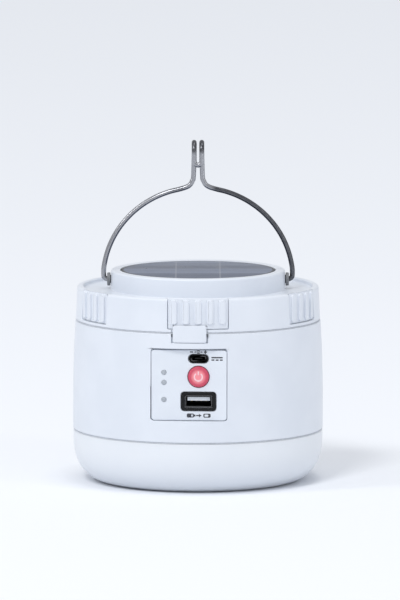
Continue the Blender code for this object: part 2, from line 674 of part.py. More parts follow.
def front_clip(mat):
    """Ribbed snap clip at the front, with the tongue that reaches down over the body."""
    bm = bmesh.new()
    prism(bm, ribbed_sector(CLIP_INNER, CLIP_FACE, front_half_angle(), FRONT_RIBS), CLIP_BOTTOM, CLIP_TOP)
    clip = make("front_clip", bm, mat)
    half_angle = TONGUE_WIDTH / 2 / TONGUE_FACE
    middle = TONGUE_CENTRE_X / TONGUE_FACE
    shoulder = CLIP_BOTTOM + 0.0018
    bm = bmesh.new()
    narrow = 0.97 * half_angle
    prism(bm, sector(CLIP_INNER + 0.0001, TONGUE_FACE - 0.0002, middle - narrow, middle + narrow),
          CLIP_BOTTOM + 0.0001, shoulder - 0.0001)
    combine(clip, tool("clip_shoulder", bm), "UNION")
    bm = bmesh.new()
    prism(bm, sector(TONGUE_INNER, TONGUE_FACE, middle - half_angle, middle + half_angle),
          TONGUE_BOTTOM, shoulder)
    combine(clip, tool("clip_tongue", bm), "UNION")


def side_clips(mat):
    for name, degrees in SIDE_CLIP_ANGLES.items():
        bm = bmesh.new()
        prism(bm, ribbed_sector(CLIP_INNER, SIDE_CLIP_FACE, side_half_angle(), SIDE_RIBS),
              CLIP_BOTTOM, CLIP_TOP)
        clip = make(name, bm, mat)
        clip.rotation_euler.z = math.radians(degrees)


# Solar panel
def solar_panel(mats):
    bottom = LEDGE_TOP + GAP
    bm = bmesh.new()
    inner = LEDGE_RADIUS + GAP
    turned(bm, [(SOLAR_RADIUS, bottom + GASKET_HEIGHT), (SOLAR_RADIUS, bottom), (inner, bottom),
                (inner, bottom + GASKET_HEIGHT)], sides=DISC_SIDES, ring=True)
    make("panel_gasket", bm, mats["foam"])
    bottom += GASKET_HEIGHT + GAP
    bm = bmesh.new()
    prism(bm, circle(SOLAR_RADIUS, DISC_SIDES), bottom, bottom + SOLAR_BOARD_HEIGHT)
    make("solar_board", bm, mats["board"])
    bottom += SOLAR_BOARD_HEIGHT + GAP
    bm = bmesh.new()
    for row in range(CELL_ROWS):
        middle = (row - (CELL_ROWS - 1) / 2) * CELL_PITCH
        prism(bm, strip_outline(middle - CELL_WIDTH / 2, middle + CELL_WIDTH / 2),
              bottom, bottom + CELL_HEIGHT)
    cells = make("solar_cells", bm, mats["silicon"])
    bm = bmesh.new()
    for x in (-RIBBON_X, RIBBON_X):
        prism(bm, rectangle(x - 0.0008, x + 0.0008, -RIBBON_LENGTH / 2, RIBBON_LENGTH / 2),
              bottom + 0.25 * CELL_HEIGHT, bottom + 0.75 * CELL_HEIGHT)
    combine(cells, tool("cell_ribbons", bm), "UNION")
    bottom += CELL_HEIGHT + GAP
    bm = bmesh.new()
    turned(bm, [(0.0, bottom + COVER_HEIGHT), (SOLAR_RADIUS - 0.0003, bottom + COVER_HEIGHT),
                (SOLAR_RADIUS, bottom + COVER_HEIGHT - 0.0003), (SOLAR_RADIUS, bottom), (0.0, bottom)],
           sides=DISC_SIDES)
    make("solar_cover", bm, mats["clear"])


def strip_outline(low, high, steps=4):
    """The band of the cell circle between two values of y."""
    limit = 0.999 * CELL_RADIUS
    low = max(low, -limit)
    high = min(high, limit)
    heights = [low + (high - low) * k / steps for k in range(steps + 1)]
    right = [(math.sqrt(CELL_RADIUS ** 2 - y * y), y) for y in heights]
    left = [(-x, y) for x, y in reversed(right)]
    return right + left


# Bail
def pivot_frame(side):
    """Frame on the bail's axis whose Z points out of the dais on one side."""
    return Matrix.Translation((0.0, 0.0, PIVOT_Z)) @ Matrix.Rotation(side * math.radians(90), 4, "Y")


def bail_half():
    """Centre line of one side of the bail, from its end in the dais to the closed tip of the hook."""
    points = [(BAIL_END_X, 0.0, 0.0), (BAIL_HALF_SPAN - BAIL_BEND - 0.001, 0.0, 0.0)]
    corner_x = BAIL_HALF_SPAN - BAIL_BEND
    for k in range(4):
        angle = math.radians(30) * k
        points.append((corner_x + BAIL_BEND * math.sin(angle), 0.0, BAIL_BEND * (1 - math.cos(angle))))
    for k in range(1, 18):
        angle = math.radians(6 + (78.5 - 6) * (k - 1) / 16)
        points.append((BAIL_HALF_SPAN * math.cos(angle), 0.0, BAIL_RISE * math.sin(angle)))
    points += [(0.0058, 0.0, SHOULDER - 0.0004), (0.0038, 0.0, SHOULDER + 0.0009),
               (0.0028, 0.0, SHOULDER + 0.0027), (STEM_HALF_GAP, 0.0, SHOULDER + 0.0050)]
    for k in range(9):
        angle = math.radians(180) * k / 8
        points.append((HOOK_HALF_GAP, -HOOK_BEND * (1 - math.cos(angle)),
                       STEM_TOP + HOOK_BEND * math.sin(angle)))
    for k in range(4):
        angle = math.radians(22.5) * k
        points.append((HOOK_HALF_GAP * math.cos(angle), -2 * HOOK_BEND,
                       HOOK_TIP - HOOK_HALF_GAP * math.sin(angle)))
    return points


def wire_bail(mat):
    right = bail_half()
    left = [(-x, y, z) for x, y, z in reversed(right)]
    tip = [(0.0, -2 * HOOK_BEND, HOOK_TIP - HOOK_HALF_GAP)]
    tube("wire_bail", right + tip + left, WIRE_RADIUS, mat, (0.0, 0.0, PIVOT_Z))


def bail_bushes(mat):
    start = DAIS_RADIUS + GAP
    for name, side in (("bail_bush_left", -1), ("bail_bush_right", 1)):
        bm = bmesh.new()
        turned(bm, [(BUSH_HOLE, start + BUSH_FLANGE), (BUSH_FLANGE_RADIUS - 0.0004, start + BUSH_FLANGE),
                    (BUSH_FLANGE_RADIUS, start + BUSH_FLANGE - 0.0004), (BUSH_FLANGE_RADIUS, start),
                    (BUSH_RADIUS, start), (BUSH_RADIUS, DAIS_RADIUS - WALL - 0.0004),
                    (BUSH_HOLE, DAIS_RADIUS - WALL - 0.0004)], pivot_frame(side), 16, ring=True)
        make(name, bm, mat)


# Light tray, light board and battery
def light_tray(mat):
    cone = LIGHT_BOARD_RADIUS + 0.0015
    edge = TRAY_BOTTOM - 0.0030
    profile = [(0.0, TRAY_TOP), (TRAY_RADIUS, TRAY_TOP), (TRAY_RADIUS, TRAY_BOTTOM),
               (cone + 0.0055, TRAY_BOTTOM), (cone + 0.0055, edge), (cone + 0.0047, edge),
               (cone, TRAY_BOTTOM), (0.0, TRAY_BOTTOM)]
    bm = bmesh.new()
    turned(bm, profile)
    tray = make("light_tray", bm, mat)
    lugs = [(-LUG_X, LUG_Y), (LUG_X, LUG_Y)]
    lights = [around(LIGHT_SCREW_RADIUS, degrees) for degrees in LIGHT_SCREW_ANGLES]
    bm = bmesh.new()
    for x, y in lugs + lights:
        prism(bm, circle(0.0032, SCREW_SIDES, x, y), TRAY_TOP - 0.001, CRADLE_BOTTOM - GAP)
    combine(tray, tool("tray_posts", bm), "UNION")
    bm = bmesh.new()
    for x, y in lugs + lights:
        prism(bm, circle(SCREW[2] + GAP, SCREW_SIDES, x, y), TRAY_BOTTOM - PAST, CRADLE_BOTTOM + PAST)
    for degrees in TRAY_SCREW_ANGLES:
        prism(bm, circle(0.0018, SCREW_SIDES, *around(TRAY_SCREW_RADIUS, degrees)),
              TRAY_BOTTOM - PAST, TRAY_TOP + PAST)
    prism(bm, circle(0.0040, 16, 0.0, LEAD_HOLE_Y), TRAY_BOTTOM - PAST, TRAY_TOP + PAST)
    combine(tray, tool("tray_holes", bm), "DIFFERENCE")


def light_board(mats):
    bm = bmesh.new()
    prism(bm, circle(LIGHT_BOARD_RADIUS, DISC_SIDES), *LIGHT_BOARD_Z)
    board = make("light_board", bm, mats["light_board"])
    bm = bmesh.new()
    for degrees in LIGHT_SCREW_ANGLES:
        prism(bm, circle(0.0015, SCREW_SIDES, *around(LIGHT_SCREW_RADIUS, degrees)),
              LIGHT_BOARD_Z[0] - PAST, LIGHT_BOARD_Z[1] + PAST)
    combine(board, tool("light_board_holes", bm), "DIFFERENCE")
    bm = bmesh.new()
    for radius, count in LIGHT_RINGS:
        for k in range(count):
            turn = Matrix.Rotation(math.tau * (k + 0.5) / count, 4, "Z")
            prism(bm, rectangle(radius - 0.0014, radius + 0.0014, -0.00175, 0.00175),
                  LIGHT_BOARD_Z[0] - 0.0007, LIGHT_BOARD_Z[0] + 0.0002, turn)
    combine(board, tool("light_chips", bm), "UNION")


def fasteners(mat):
    flip = Matrix.Rotation(math.radians(180), 4, "X")
    places = [Matrix.Translation((*around(LIGHT_SCREW_RADIUS, degrees), LIGHT_BOARD_Z[0] - GAP)) @ flip
              for degrees in LIGHT_SCREW_ANGLES]
    screws("light_board_screw", SCREW, 0.0078, places, mat)
    places = [Matrix.Translation((*around(TRAY_SCREW_RADIUS, degrees), TRAY_BOTTOM - GAP)) @ flip
              for degrees in TRAY_SCREW_ANGLES]
    screws("tray_screw", SCREW, 0.0115, places, mat)
    places = [Matrix.Translation((side * LUG_X, LUG_Y, CRADLE_FLOOR + GAP)) for side in (-1, 1)]
    screws("cradle_screw", SCREW, 0.0058, places, mat)


def battery(mats):
    outer_x = CRADLE_INNER_X + CRADLE_WALL
    low_y, high_y = CRADLE_INNER_Y
    bm = bmesh.new()
    prism(bm, rectangle(-outer_x, outer_x, low_y - CRADLE_WALL, high_y + CRADLE_WALL),
          CRADLE_BOTTOM, CRADLE_TOP)
    cradle = make("battery_cradle", bm, mats["grey"])
    bm = bmesh.new()
    for side in (-1, 1):
        ends = sorted((side * (outer_x - 0.001), side * (LUG_X + 0.0034)))
        prism(bm, rectangle(*ends, LUG_Y - 0.0034, LUG_Y + 0.0034), CRADLE_BOTTOM + 0.0001, CRADLE_FLOOR)
    combine(cradle, tool("cradle_lugs", bm), "UNION")
    bm = bmesh.new()
    prism(bm, rectangle(-CRADLE_INNER_X, CRADLE_INNER_X, low_y, high_y), CRADLE_FLOOR, CRADLE_TOP + PAST)
    for side in (-1, 1):
        prism(bm, circle(SCREW[2] + GAP, SCREW_SIDES, side * LUG_X, LUG_Y),
              CRADLE_BOTTOM - PAST, CRADLE_FLOOR + PAST)
    combine(cradle, tool("cradle_hollow", bm), "DIFFERENCE")

    for name, y, side in (("battery_cell_front", CELL_Y[0], 1), ("battery_cell_rear", CELL_Y[1], -1)):
        along = Matrix.Translation((0.0, y, CELL_Z)) @ Matrix.Rotation(side * math.radians(90), 4, "Y")
        bm = bmesh.new()
        turned(bm, [(0.0, CELL_HALF_LENGTH), (0.0030, CELL_HALF_LENGTH), (0.0030, CELL_HALF_LENGTH - 0.0010),
                    (CELL_BODY_RADIUS - 0.0006, CELL_HALF_LENGTH - 0.0010),
                    (CELL_BODY_RADIUS, CELL_HALF_LENGTH - 0.0016), (CELL_BODY_RADIUS, -CELL_HALF_LENGTH),
                    (0.0, -CELL_HALF_LENGTH)], along, 24)
        make(name, bm, mats["sleeve"])

    # One contact plate at each end joins the two cells.
    for name, side in (("battery_contact_left", -1), ("battery_contact_right", 1)):
        plate = sorted((side * CONTACT_X, side * (CONTACT_X - CONTACT_SHEET)))
        bm = bmesh.new()
        prism(bm, rectangle(*plate, CELL_Y[0] - CONTACT_REACH, CELL_Y[1] + CONTACT_REACH),
              CELL_Z - CONTACT_REACH, CELL_Z + CONTACT_REACH)
        contact = make(name, bm, mats["steel"])
        bm = bmesh.new()
        for y in CELL_Y:
            out = Matrix.Translation((0.0, y, CELL_Z)) @ Matrix.Rotation(side * math.radians(90), 4, "Y")
            prism(bm, circle(0.0022, 12), CELL_HALF_LENGTH + 0.0004, CONTACT_X - 0.0001, out)
        combine(contact, tool(name + "_bosses", bm), "UNION")


def leads(mats):
    """Internal leads from the solar board, the battery and the light board to the control board."""
    end = BOARD_BACK - GAP - 0.0002
    for colour, side in (("red", 1), ("black", -1)):
        route = [(side * 0.004, 0.0, LEDGE_TOP + GASKET_HEIGHT + GAP), (side * 0.004, -0.002, 0.0990),
                 (side * 0.0045, -0.012, 0.0925), (side * 0.005, -0.026, 0.0840),
                 (side * 0.004, -0.0350, 0.0760), on_panel(side * 0.003 + 0.001, end - 0.004, 0.0712),
                 on_panel(side * 0.003 + 0.001, end, 0.0710)]
        tube(f"solar_lead_{colour}", smooth_route(route, 0.0035), LEAD_RADIUS, mats[colour])
        route = [(side * 0.0336, CELL_Y[0], CELL_Z + 0.0053), (side * 0.0333, 0.0110, 0.0560),
                 (side * 0.0300, 0.0010, 0.0590), (side * 0.0240, -0.0160, 0.0600),
                 (side * 0.0180, -0.0320, 0.0600), on_panel(side * 0.0145, end - 0.004, 0.0598),
                 on_panel(side * 0.0140, end, 0.0598)]
        tube(f"battery_lead_{colour}", smooth_route(route, 0.0035), LEAD_RADIUS, mats[colour])
        route = [(side * 0.0018, LEAD_HOLE_Y, LIGHT_BOARD_Z[1] + GAP),
                 (side * 0.0018, LEAD_HOLE_Y - 0.0004, 0.0325), (side * 0.0022, -0.0160, 0.0370),
                 (side * 0.0030, -0.0290, 0.0405), on_panel(side * 0.0030, end - 0.004, 0.0420),
                 on_panel(side * 0.0030, end, 0.0420)]
        tube(f"light_lead_{colour}", smooth_route(route, 0.0030), LEAD_RADIUS, mats[colour])


def materials():
    return {
        "white": material("white_abs", (0.86, 0.88, 0.91), 0.28),
        "milky": material("milky_polycarbonate", (0.90, 0.92, 0.95), 0.35),
        "black": material("black_plastic", (0.02, 0.02, 0.022), 0.40),
        "red": material("red_silicone", (0.78, 0.05, 0.08), 0.42),
        "grey": material("grey_abs", (0.35, 0.36, 0.38), 0.50),
        "foam": material("black_foam", (0.03, 0.03, 0.03), 0.90),
        "rubber": material("grey_silicone", (0.30, 0.31, 0.33), 0.60),
        "steel": material("polished_steel", (0.62, 0.63, 0.65), 0.22, 1.0),
        "aluminium": material("aluminium_can", (0.75, 0.76, 0.78), 0.35, 1.0),
        "silicon": material("solar_silicon", (0.16, 0.18, 0.22), 0.30),
        "clear": material("clear_resin", (0.85, 0.88, 0.92), 0.10, 0.0, 0.35),
        "board": material("green_board", (0.05, 0.25, 0.12), 0.45),
        "light_board": material("white_board", (0.82, 0.82, 0.80), 0.40),
        "phosphor": material("yellow_phosphor", (0.90, 0.75, 0.25), 0.45),
        "ferrite": material("ferrite", (0.08, 0.08, 0.085), 0.60),
        "sleeve": material("blue_sleeve", (0.05, 0.20, 0.45), 0.35),
    }


def build():
    clear_scene()
    mats = materials()
    panel = bpy.data.objects.new("panel_frame", None)
    panel.rotation_euler.z = PANEL_TURN
    bpy.context.scene.collection.objects.link(panel)

    diffuser_bowl(mats["milky"])
    seal("bowl_seal", BOWL_SEAL_RADIUS, BODY_BOTTOM + 0.0008, mats["rubber"])
    seal("cap_seal", CAP_SEAL_RADIUS, BODY_TOP - 0.0008, mats["rubber"])
    body_shell(mats["white"], panel)
    control_panel(mats, panel)
    power_button(mats, panel)
    control_board(mats, panel)
    top_cap(mats["white"])
    front_clip(mats["white"])
    side_clips(mats["white"])
    solar_panel(mats)
    wire_bail(mats["steel"])
    bail_bushes(mats["grey"])
    light_tray(mats["white"])
    light_board(mats)
    fasteners(mats["steel"])
    battery(mats)
    leads(mats)


build()
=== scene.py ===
"""Solar camping lantern: fine surfaces, finishes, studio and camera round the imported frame.

The frame gives every place. Turned shells, moulded clips, the wire bail and the control
panel are rebuilt here with rounded edges, and every piece gets its own worked finish.
Metres, +Z up, the control panel faces -Y.
"""
import json
import math

import bmesh
import bpy
from mathutils import Matrix, Vector


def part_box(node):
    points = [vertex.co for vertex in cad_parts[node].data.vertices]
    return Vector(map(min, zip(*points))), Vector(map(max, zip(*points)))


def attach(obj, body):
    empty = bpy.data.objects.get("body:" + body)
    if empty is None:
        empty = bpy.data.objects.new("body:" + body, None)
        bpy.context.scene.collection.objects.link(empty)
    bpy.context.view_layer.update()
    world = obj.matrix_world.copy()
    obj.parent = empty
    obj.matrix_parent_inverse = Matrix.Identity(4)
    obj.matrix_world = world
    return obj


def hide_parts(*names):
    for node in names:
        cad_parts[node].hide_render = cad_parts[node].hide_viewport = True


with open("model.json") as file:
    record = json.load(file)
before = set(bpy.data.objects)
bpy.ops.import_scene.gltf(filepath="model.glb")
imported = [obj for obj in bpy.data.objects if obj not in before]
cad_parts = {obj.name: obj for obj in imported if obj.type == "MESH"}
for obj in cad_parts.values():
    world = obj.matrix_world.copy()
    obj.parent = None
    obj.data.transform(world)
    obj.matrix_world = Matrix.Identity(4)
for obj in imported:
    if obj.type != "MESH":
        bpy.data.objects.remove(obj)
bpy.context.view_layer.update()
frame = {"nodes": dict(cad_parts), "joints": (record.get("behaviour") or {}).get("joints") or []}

NODES = frame["nodes"]
bowl_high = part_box("diffuser_bowl")[1]
drum_low, drum_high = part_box("body_shell")
cap_low, cap_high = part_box("top_cap")
clip_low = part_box("front_clip")[0]
side_low, side_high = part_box("rear_clip")
cover_low, cover_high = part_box("solar_cover")
cells_low, cells_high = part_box("solar_cells")
bush_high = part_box("bail_bush_right")[1]
PIVOT = Vector(frame["joints"][0]["pos_m"])

GAP = 0.0003
WALL = 0.0020
PAST = 0.0010               # how far a cutter runs past what it cuts
OUTSIDE = 0.066             # a radius past every outer face
TURNED_STEPS = 180
FINE_STEPS = 72
EDGE_ANGLE = math.radians(32)

# Turned shells
BOWL_RADIUS = bowl_high.x
BOWL_FLAT_RADIUS = 0.0455
BOWL_CURVE_TOP = 0.0215
BOWL_RIM_Z = 0.0256
BOWL_POWER = 2.2
FOOT_RECESS_RADIUS = 0.0400
FOOT_RECESS = 0.0003
GATE_HOLE = 0.0004          # left open by turning, closed by the gate mark
GATE_RADIUS = 0.0018
SPIGOT_RADIUS = 0.0601
SPIGOT_WALL = 0.0015
DRUM_RADIUS = drum_high.x
DRUM_TAPER = 0.00125        # how much the drum draws in towards its top
DRUM_TAPER_START = 0.0400
DRUM_LEVELS = 12
DRUM_LIP_RADIUS = 0.0603
DRUM_SEAL_RADIUS = 0.0616
BORE_RADIUS = 0.06045
BORE_STRAIGHT_TOP = 0.0500
BORE_TOP_RADIUS = 0.0593
CAP_SEAL_DEPTH = 0.0016
BOWL_SEAL_DEPTH = 0.0018
SEAL_LIP = 0.0002           # half the lip's height
CAP_SEAL_LIP = (0.06045, 0.0609)
BOWL_SEAL_LIP = (0.0613, 0.0622)
CAP_BOTTOM = 0.0810
CAP_RADIUS = 0.0611
RIM_RADIUS = 0.0603
RIM_TOP = 0.0977
SKIRT_BREAK = 0.0900        # where the skirt starts to lean out
CHANNEL_OUTER = 0.0570
CHANNEL_FLOOR = 0.0957
DAIS_RADIUS = 0.0435
RECESS_RADIUS = 0.0388
LEDGE_RADIUS = 0.0358
LEDGE_TOP = 0.1021
LEDGE_BOTTOM = 0.10095
CAP_SPIGOT_RADIUS = 0.0589
CAP_SPIGOT_WALL = 0.0017
SPIGOT_TAPER = (0.0825, 0.0837)         # where the bore widens from the spigot to the skirt

# Clips
CLIP_INNER = 0.0597
CLIP_FACE = 0.0604
SIDE_CLIP_FACE = 0.0600
RIB_HEIGHT = 0.0011
RIB_PITCH = 0.0060
RIB_WIDTH = 0.0032
RIB_ROUND = 0.0012
RIB_FOOT = 0.0008           # from the clip's edge to the end of its ribs
FRONT_RIB_FOOT = 0.0024
CLIP_EDGE = 0.00028
FRONT_RIBS = 5
SIDE_RIBS = 4
SIDE_CLIPS = {"left": -60.0, "right": 60.0, "rear": 180.0}
TONGUE_X = -0.0042
TONGUE_WIDTH = 0.0168
TONGUE_SIDE_GAP = 0.0008
TONGUE_INNER = 0.0609
TONGUE_FACE = 0.0615

# Control panel, measured in its own turned frame
PANEL_TURN = math.radians(-4.3)
OUTWARD = Matrix.Rotation(math.radians(90), 4, "X")
ON_PANEL = Matrix.Rotation(PANEL_TURN, 4, "Z") @ OUTWARD
PANEL_WIDTH = 0.0379
PANEL_BOTTOM = 0.0370
PANEL_TOP = 0.0730
PANEL_MIDDLE = (PANEL_BOTTOM + PANEL_TOP) / 2
PANEL_CORNER = 0.0015
FACET = 0.05905
INLAY = 0.00085
INLAY_SLOT = 0.0006
POCKET = FACET - INLAY - GAP
BLOCK_FRONT = 0.0612
BLOCK_LIMIT = 0.0609
BLOCK_BACK = 0.0554
BLOCK_MARGIN = 0.0020       # above and below the pocket
SLOT_DEPTH = 0.0014
COLUMN_X = 0.0047
CHARGE_Z = 0.0680
BUTTON_Z = 0.0590
USB_Z = 0.0467
LAMP_X = -0.0124
LAMP_HEIGHTS = (0.0610, 0.0560, 0.0475)
BUTTON_RADIUS = 0.0052
BUTTON_FRONT = 0.0603
BUTTON_BACK = 0.0551
BUTTON_CROWN_RADIUS = 0.0042
BUTTON_ROUND = 0.0010
FLANGE_RADIUS = 0.0068
FLANGE_BACK = 0.0541
PLUNGER_RADIUS = 0.0017
PLUNGER_BACK = 0.0530
MARK_HEIGHT = 0.00015
MARK_RADIUS = 0.0023
MARK_LINE = 0.0007
LAMP_HOLE = 0.0013
PIPE_RADIUS = LAMP_HOLE - 0.00006
PIPE_BAR = (0.0538, 0.0550)
PIPE_DOME = ((0.0, 0.0593), (0.0005, 0.05928), (0.0009, 0.0592), (0.0011, 0.0591))
PIPE_SHOULDER = 0.0589
PIPE_STEM = (0.0010, 0.0545, 0.0462)    # radius, top and bottom
BOARD_FRONT = 0.0445
SHELL_MOUTH = 0.0580
CONTACT_PITCH = 0.0023
CONTACT_FRONT = 0.0568
INK_BASE = FACET - 0.00002
INK_FACE = FACET + 0.00003
INK_LINE = 0.0006
CURRENT_LINE = 0.00065
# Sockets: width, height and corner radius
USB_SURROUND = (0.0172, 0.0092, 0.0015)
USB_WINDOW = (0.0137, 0.0063, 0.0006)
CHARGE_SURROUND = (0.0098, 0.0042, 0.00209)
CHARGE_WINDOW = (0.0079, 0.0033, 0.0010)

# Bail
WIRE_RADIUS = 0.00125
PIN_HALF_WIDTH = 0.0055
PIN_HIGHLIGHT_TOP = 0.1652
BAIL_HALF_SPAN = 0.0474
BAIL_RISE = 0.0460
BAIL_END_X = 0.0413
BAIL_BEND = 0.0025
STEM_HALF_GAP = 0.00225
HOOK_HALF_GAP = 0.0019
SHOULDER = 0.0466
STEM_TOP = 0.0646
HOOK_BEND = 0.0045
HOOK_TIP = 0.0600
BUSH_HOLE = WIRE_RADIUS + GAP
BUSH_RADIUS = 0.00215
BUSH_FLANGE = 0.0016

# Solar panel
CELL_PITCH = 0.0110
CELL_WIDTH = 0.0104
CELL_ROWS = 7
RIBBON_X = 0.0110
RIBBON_WIDTH = 0.0014
RIBBON_LENGTH = 0.0690
RIBBON_STEP = 0.00005       # how far the ribbons stand above the strips
FINGER_PITCH = 0.0013
CELLS_RADIUS = cells_high.x
COVER_ROUND = 0.0004


# Shader arithmetic
class Signal:
    """A node's output in a finish. Arithmetic on it adds the Math nodes."""

    def __init__(self, finish, socket):
        self.finish = finish
        self.socket = socket

    def math(self, operation, *values):
        return self.finish.node("ShaderNodeMath", {"operation": operation}, dict(enumerate(values)))

    def __add__(self, other):
        return self.math("ADD", self, other)

    __radd__ = __add__

    def __sub__(self, other):
        return self.math("SUBTRACT", self, other)

    def __rsub__(self, other):
        return self.math("SUBTRACT", other, self)

    def __mul__(self, other):
        return self.math("MULTIPLY", self, other)

    __rmul__ = __mul__

    def __truediv__(self, other):
        return self.math("DIVIDE", self, other)

    def __rtruediv__(self, other):
        return self.math("DIVIDE", other, self)

    def __mod__(self, other):
        return self.math("FLOORED_MODULO", self, other)

    def __pow__(self, other):
        return self.math("POWER", self, other)

    def __abs__(self):
        return self.math("ABSOLUTE", self)

    def __lt__(self, other):
        return self.math("LESS_THAN", self, other)

    def __gt__(self, other):
        return self.math("GREATER_THAN", self, other)

    def whole(self):
        return self.math("FLOOR", self)

    def ease(self, start, end):
        """0 at start, 1 at end, smooth between them. start may be the larger."""
        settings = {"interpolation_type": "SMOOTHSTEP"}
        if start > end:
            return 1 - self.ease(end, start)
        values = {0: self, 1: start, 2: end, 3: 0.0, 4: 1.0}
        return self.finish.node("ShaderNodeMapRange", settings, values)

    def line(self, centre, half_width, soft):
        """1 on a line at centre, 0 away from it."""
        return abs(self - centre).ease(half_width + soft, half_width)

    def either(self, other):
        return self.math("MAXIMUM", self, other)


class Finish:
    """One material: a Principled shader, and the nodes that vary it over the surface."""

    def __init__(self, name, **constants):
        self.material = bpy.data.materials.new(name)
        self.material.use_nodes = True
        self.tree = self.material.node_tree
        self.shader = self.tree.nodes["Principled BSDF"]
        self.set(**constants)
        self.place = self.node("ShaderNodeTexCoord", out="Object")
        self.x, self.y, self.z = (self.node("ShaderNodeSeparateXYZ", None, {0: self.place}, out=k)
                                  for k in range(3))

    def node(self, kind, settings=None, inputs=None, out=0):
        node = self.tree.nodes.new(kind)
        for name, value in (settings or {}).items():
            setattr(node, name, value)
        for name, value in (inputs or {}).items():
            self.feed(node.inputs[name], value)
        return Signal(self, node.outputs[out])

    def feed(self, socket, value):
        if isinstance(value, Signal):
            self.tree.links.new(value.socket, socket)
        elif isinstance(value, tuple) and len(value) == 3 and socket.type == "RGBA":
            socket.default_value = (*value, 1.0)
        else:
            socket.default_value = value

    def set(self, **values):
        for name, value in values.items():
            self.feed(self.shader.inputs[name.replace("_", " ")], value)

    def noise(self, scale, detail=2.0, roughness=0.5, distortion=0.0, stretch=None):
        """Noise with about scale features in a metre. stretch multiplies the coordinates."""
        place = self.place
        if stretch:
            place = self.node("ShaderNodeMapping", None, {"Vector": place, "Scale": stretch})
        return self.node("ShaderNodeTexNoise", None,
                         {"Vector": place, "Scale": scale, "Detail": detail, "Roughness": roughness,
                          "Distortion": distortion})

    def cells(self, scale, out="Distance"):
        return self.node("ShaderNodeTexVoronoi", None, {"Vector": self.place, "Scale": scale}, out=out)

    def blend(self, mask, first, second):
        """The first colour where mask is 0 and the second where it is 1."""
        return self.node("ShaderNodeMix", {"data_type": "RGBA"}, {0: mask, 6: first, 7: second}, out=2)

    def bump(self, height, depth, below=None):
        """A relief of the given depth in metres, on top of another one below it."""
        inputs = {"Strength": 1.0, "Distance": depth, "Height": height}
        if below is not None:
            inputs["Normal"] = below
        return self.node("ShaderNodeBump", None, inputs)

    def radius(self):
        """Distance from the lantern's upright axis."""
        return (self.x ** 2 + self.y ** 2) ** 0.5


# Finishes
SHELL_COLOUR = (0.745, 0.785, 0.850)
SHELL_SHADE = (0.690, 0.732, 0.800)
SEAM_DUST_AND_SHADE = (0.46, 0.48, 0.52)
SEAM_HEIGHTS = (0.0259, 0.0807)


def shell_plastic(name, grain=2600.0, gloss=0.26, seams=()):
    """Cool white moulded shell: fine spark-eroded grain, flow waves, handling marks, and seam dust with
    painted shade along the seams.
    """
    f = Finish(name, IOR=1.50)
    cloud = f.noise(38.0, 3.0, 0.55)
    speck = f.noise(900.0, 2.0, 0.6)
    colour = f.blend(cloud.ease(0.35, 0.70) * 0.55, SHELL_COLOUR, SHELL_SHADE)
    for seam in seams:
        # Seam dust and painted shade: a speckled grey line darkens the shell along each seam.
        dust = f.z.line(seam, 0.0003, 0.0013)
        colour = f.blend(dust * speck.ease(0.35, 0.75) * 0.22, colour, SEAM_DUST_AND_SHADE)
    scuffs = f.noise(120.0, 4.0, 0.7, 0.4, (1.0, 1.0, 5.0)).ease(0.62, 0.78)
    f.set(Base_Color=colour, Roughness=gloss + 0.07 * cloud + 0.10 * scuffs + 0.05 * speck)
    waves = f.bump(f.noise(55.0, 1.0, 0.4), 0.00006)
    fine = f.bump(f.noise(grain, 2.0, 0.6), 0.000006, waves)
    f.set(Normal=f.bump(scuffs, -0.000004, fine))
    return f.material


def milky_polycarbonate():
    """Translucent white bowl: satin outside, faint cloudiness, and painted shade greying it towards its
    foot.
    """
    f = Finish("milky_polycarbonate", IOR=1.585, Subsurface_Weight=0.35, Subsurface_Scale=0.004,
               Subsurface_Radius=(1.0, 1.0, 1.0))
    cloud = f.noise(46.0, 3.0, 0.5)
    # Painted shade: the bowl's underside is greyed towards its foot in the colour itself.
    foot = f.z.ease(0.020, 0.000)
    colour = f.blend(cloud.ease(0.3, 0.75) * 0.5, (0.80, 0.835, 0.885), (0.765, 0.805, 0.865))
    colour = f.blend(foot * 0.55, colour, (0.66, 0.70, 0.77))
    rub = (f.z < 0.0004) * f.noise(300.0, 4.0, 0.7).ease(0.45, 0.65)
    f.set(Base_Color=colour, Roughness=0.30 + 0.08 * cloud + 0.25 * rub)
    waves = f.bump(f.noise(70.0, 1.0, 0.4), 0.00005)
    f.set(Normal=f.bump(f.noise(3200.0, 2.0, 0.6), 0.000005, waves))
    return f.material


def panel_plastic():
    """Inlay of the control panel: the same white, in a duller, finer texture."""
    f = Finish("panel_plastic", IOR=1.50)
    cloud = f.noise(90.0, 2.0)
    colour = f.blend(cloud.ease(0.35, 0.7) * 0.5, (0.735, 0.778, 0.842), (0.700, 0.744, 0.812))
    pits = f.cells(3800.0)
    f.set(Base_Color=colour, Roughness=0.40 + 0.08 * cloud, Normal=f.bump(pits, 0.000010))
    return f.material


def dark_plastic(name, colour=(0.006, 0.0062, 0.0075), gloss=0.30):
    """Black glass-filled plastic with pale dust in its texture."""
    f = Finish(name, IOR=1.42, Specular_IOR_Level=0.30)
    dust = f.noise(1500.0, 3.0, 0.65)
    worn = tuple(0.008 + 1.6 * c for c in colour)
    f.set(Base_Color=f.blend(dust.ease(0.50, 0.80) * 0.6, colour, worn), Roughness=gloss + 0.18 * dust,
          Normal=f.bump(f.noise(4200.0, 2.0, 0.6), 0.000008))
    return f.material


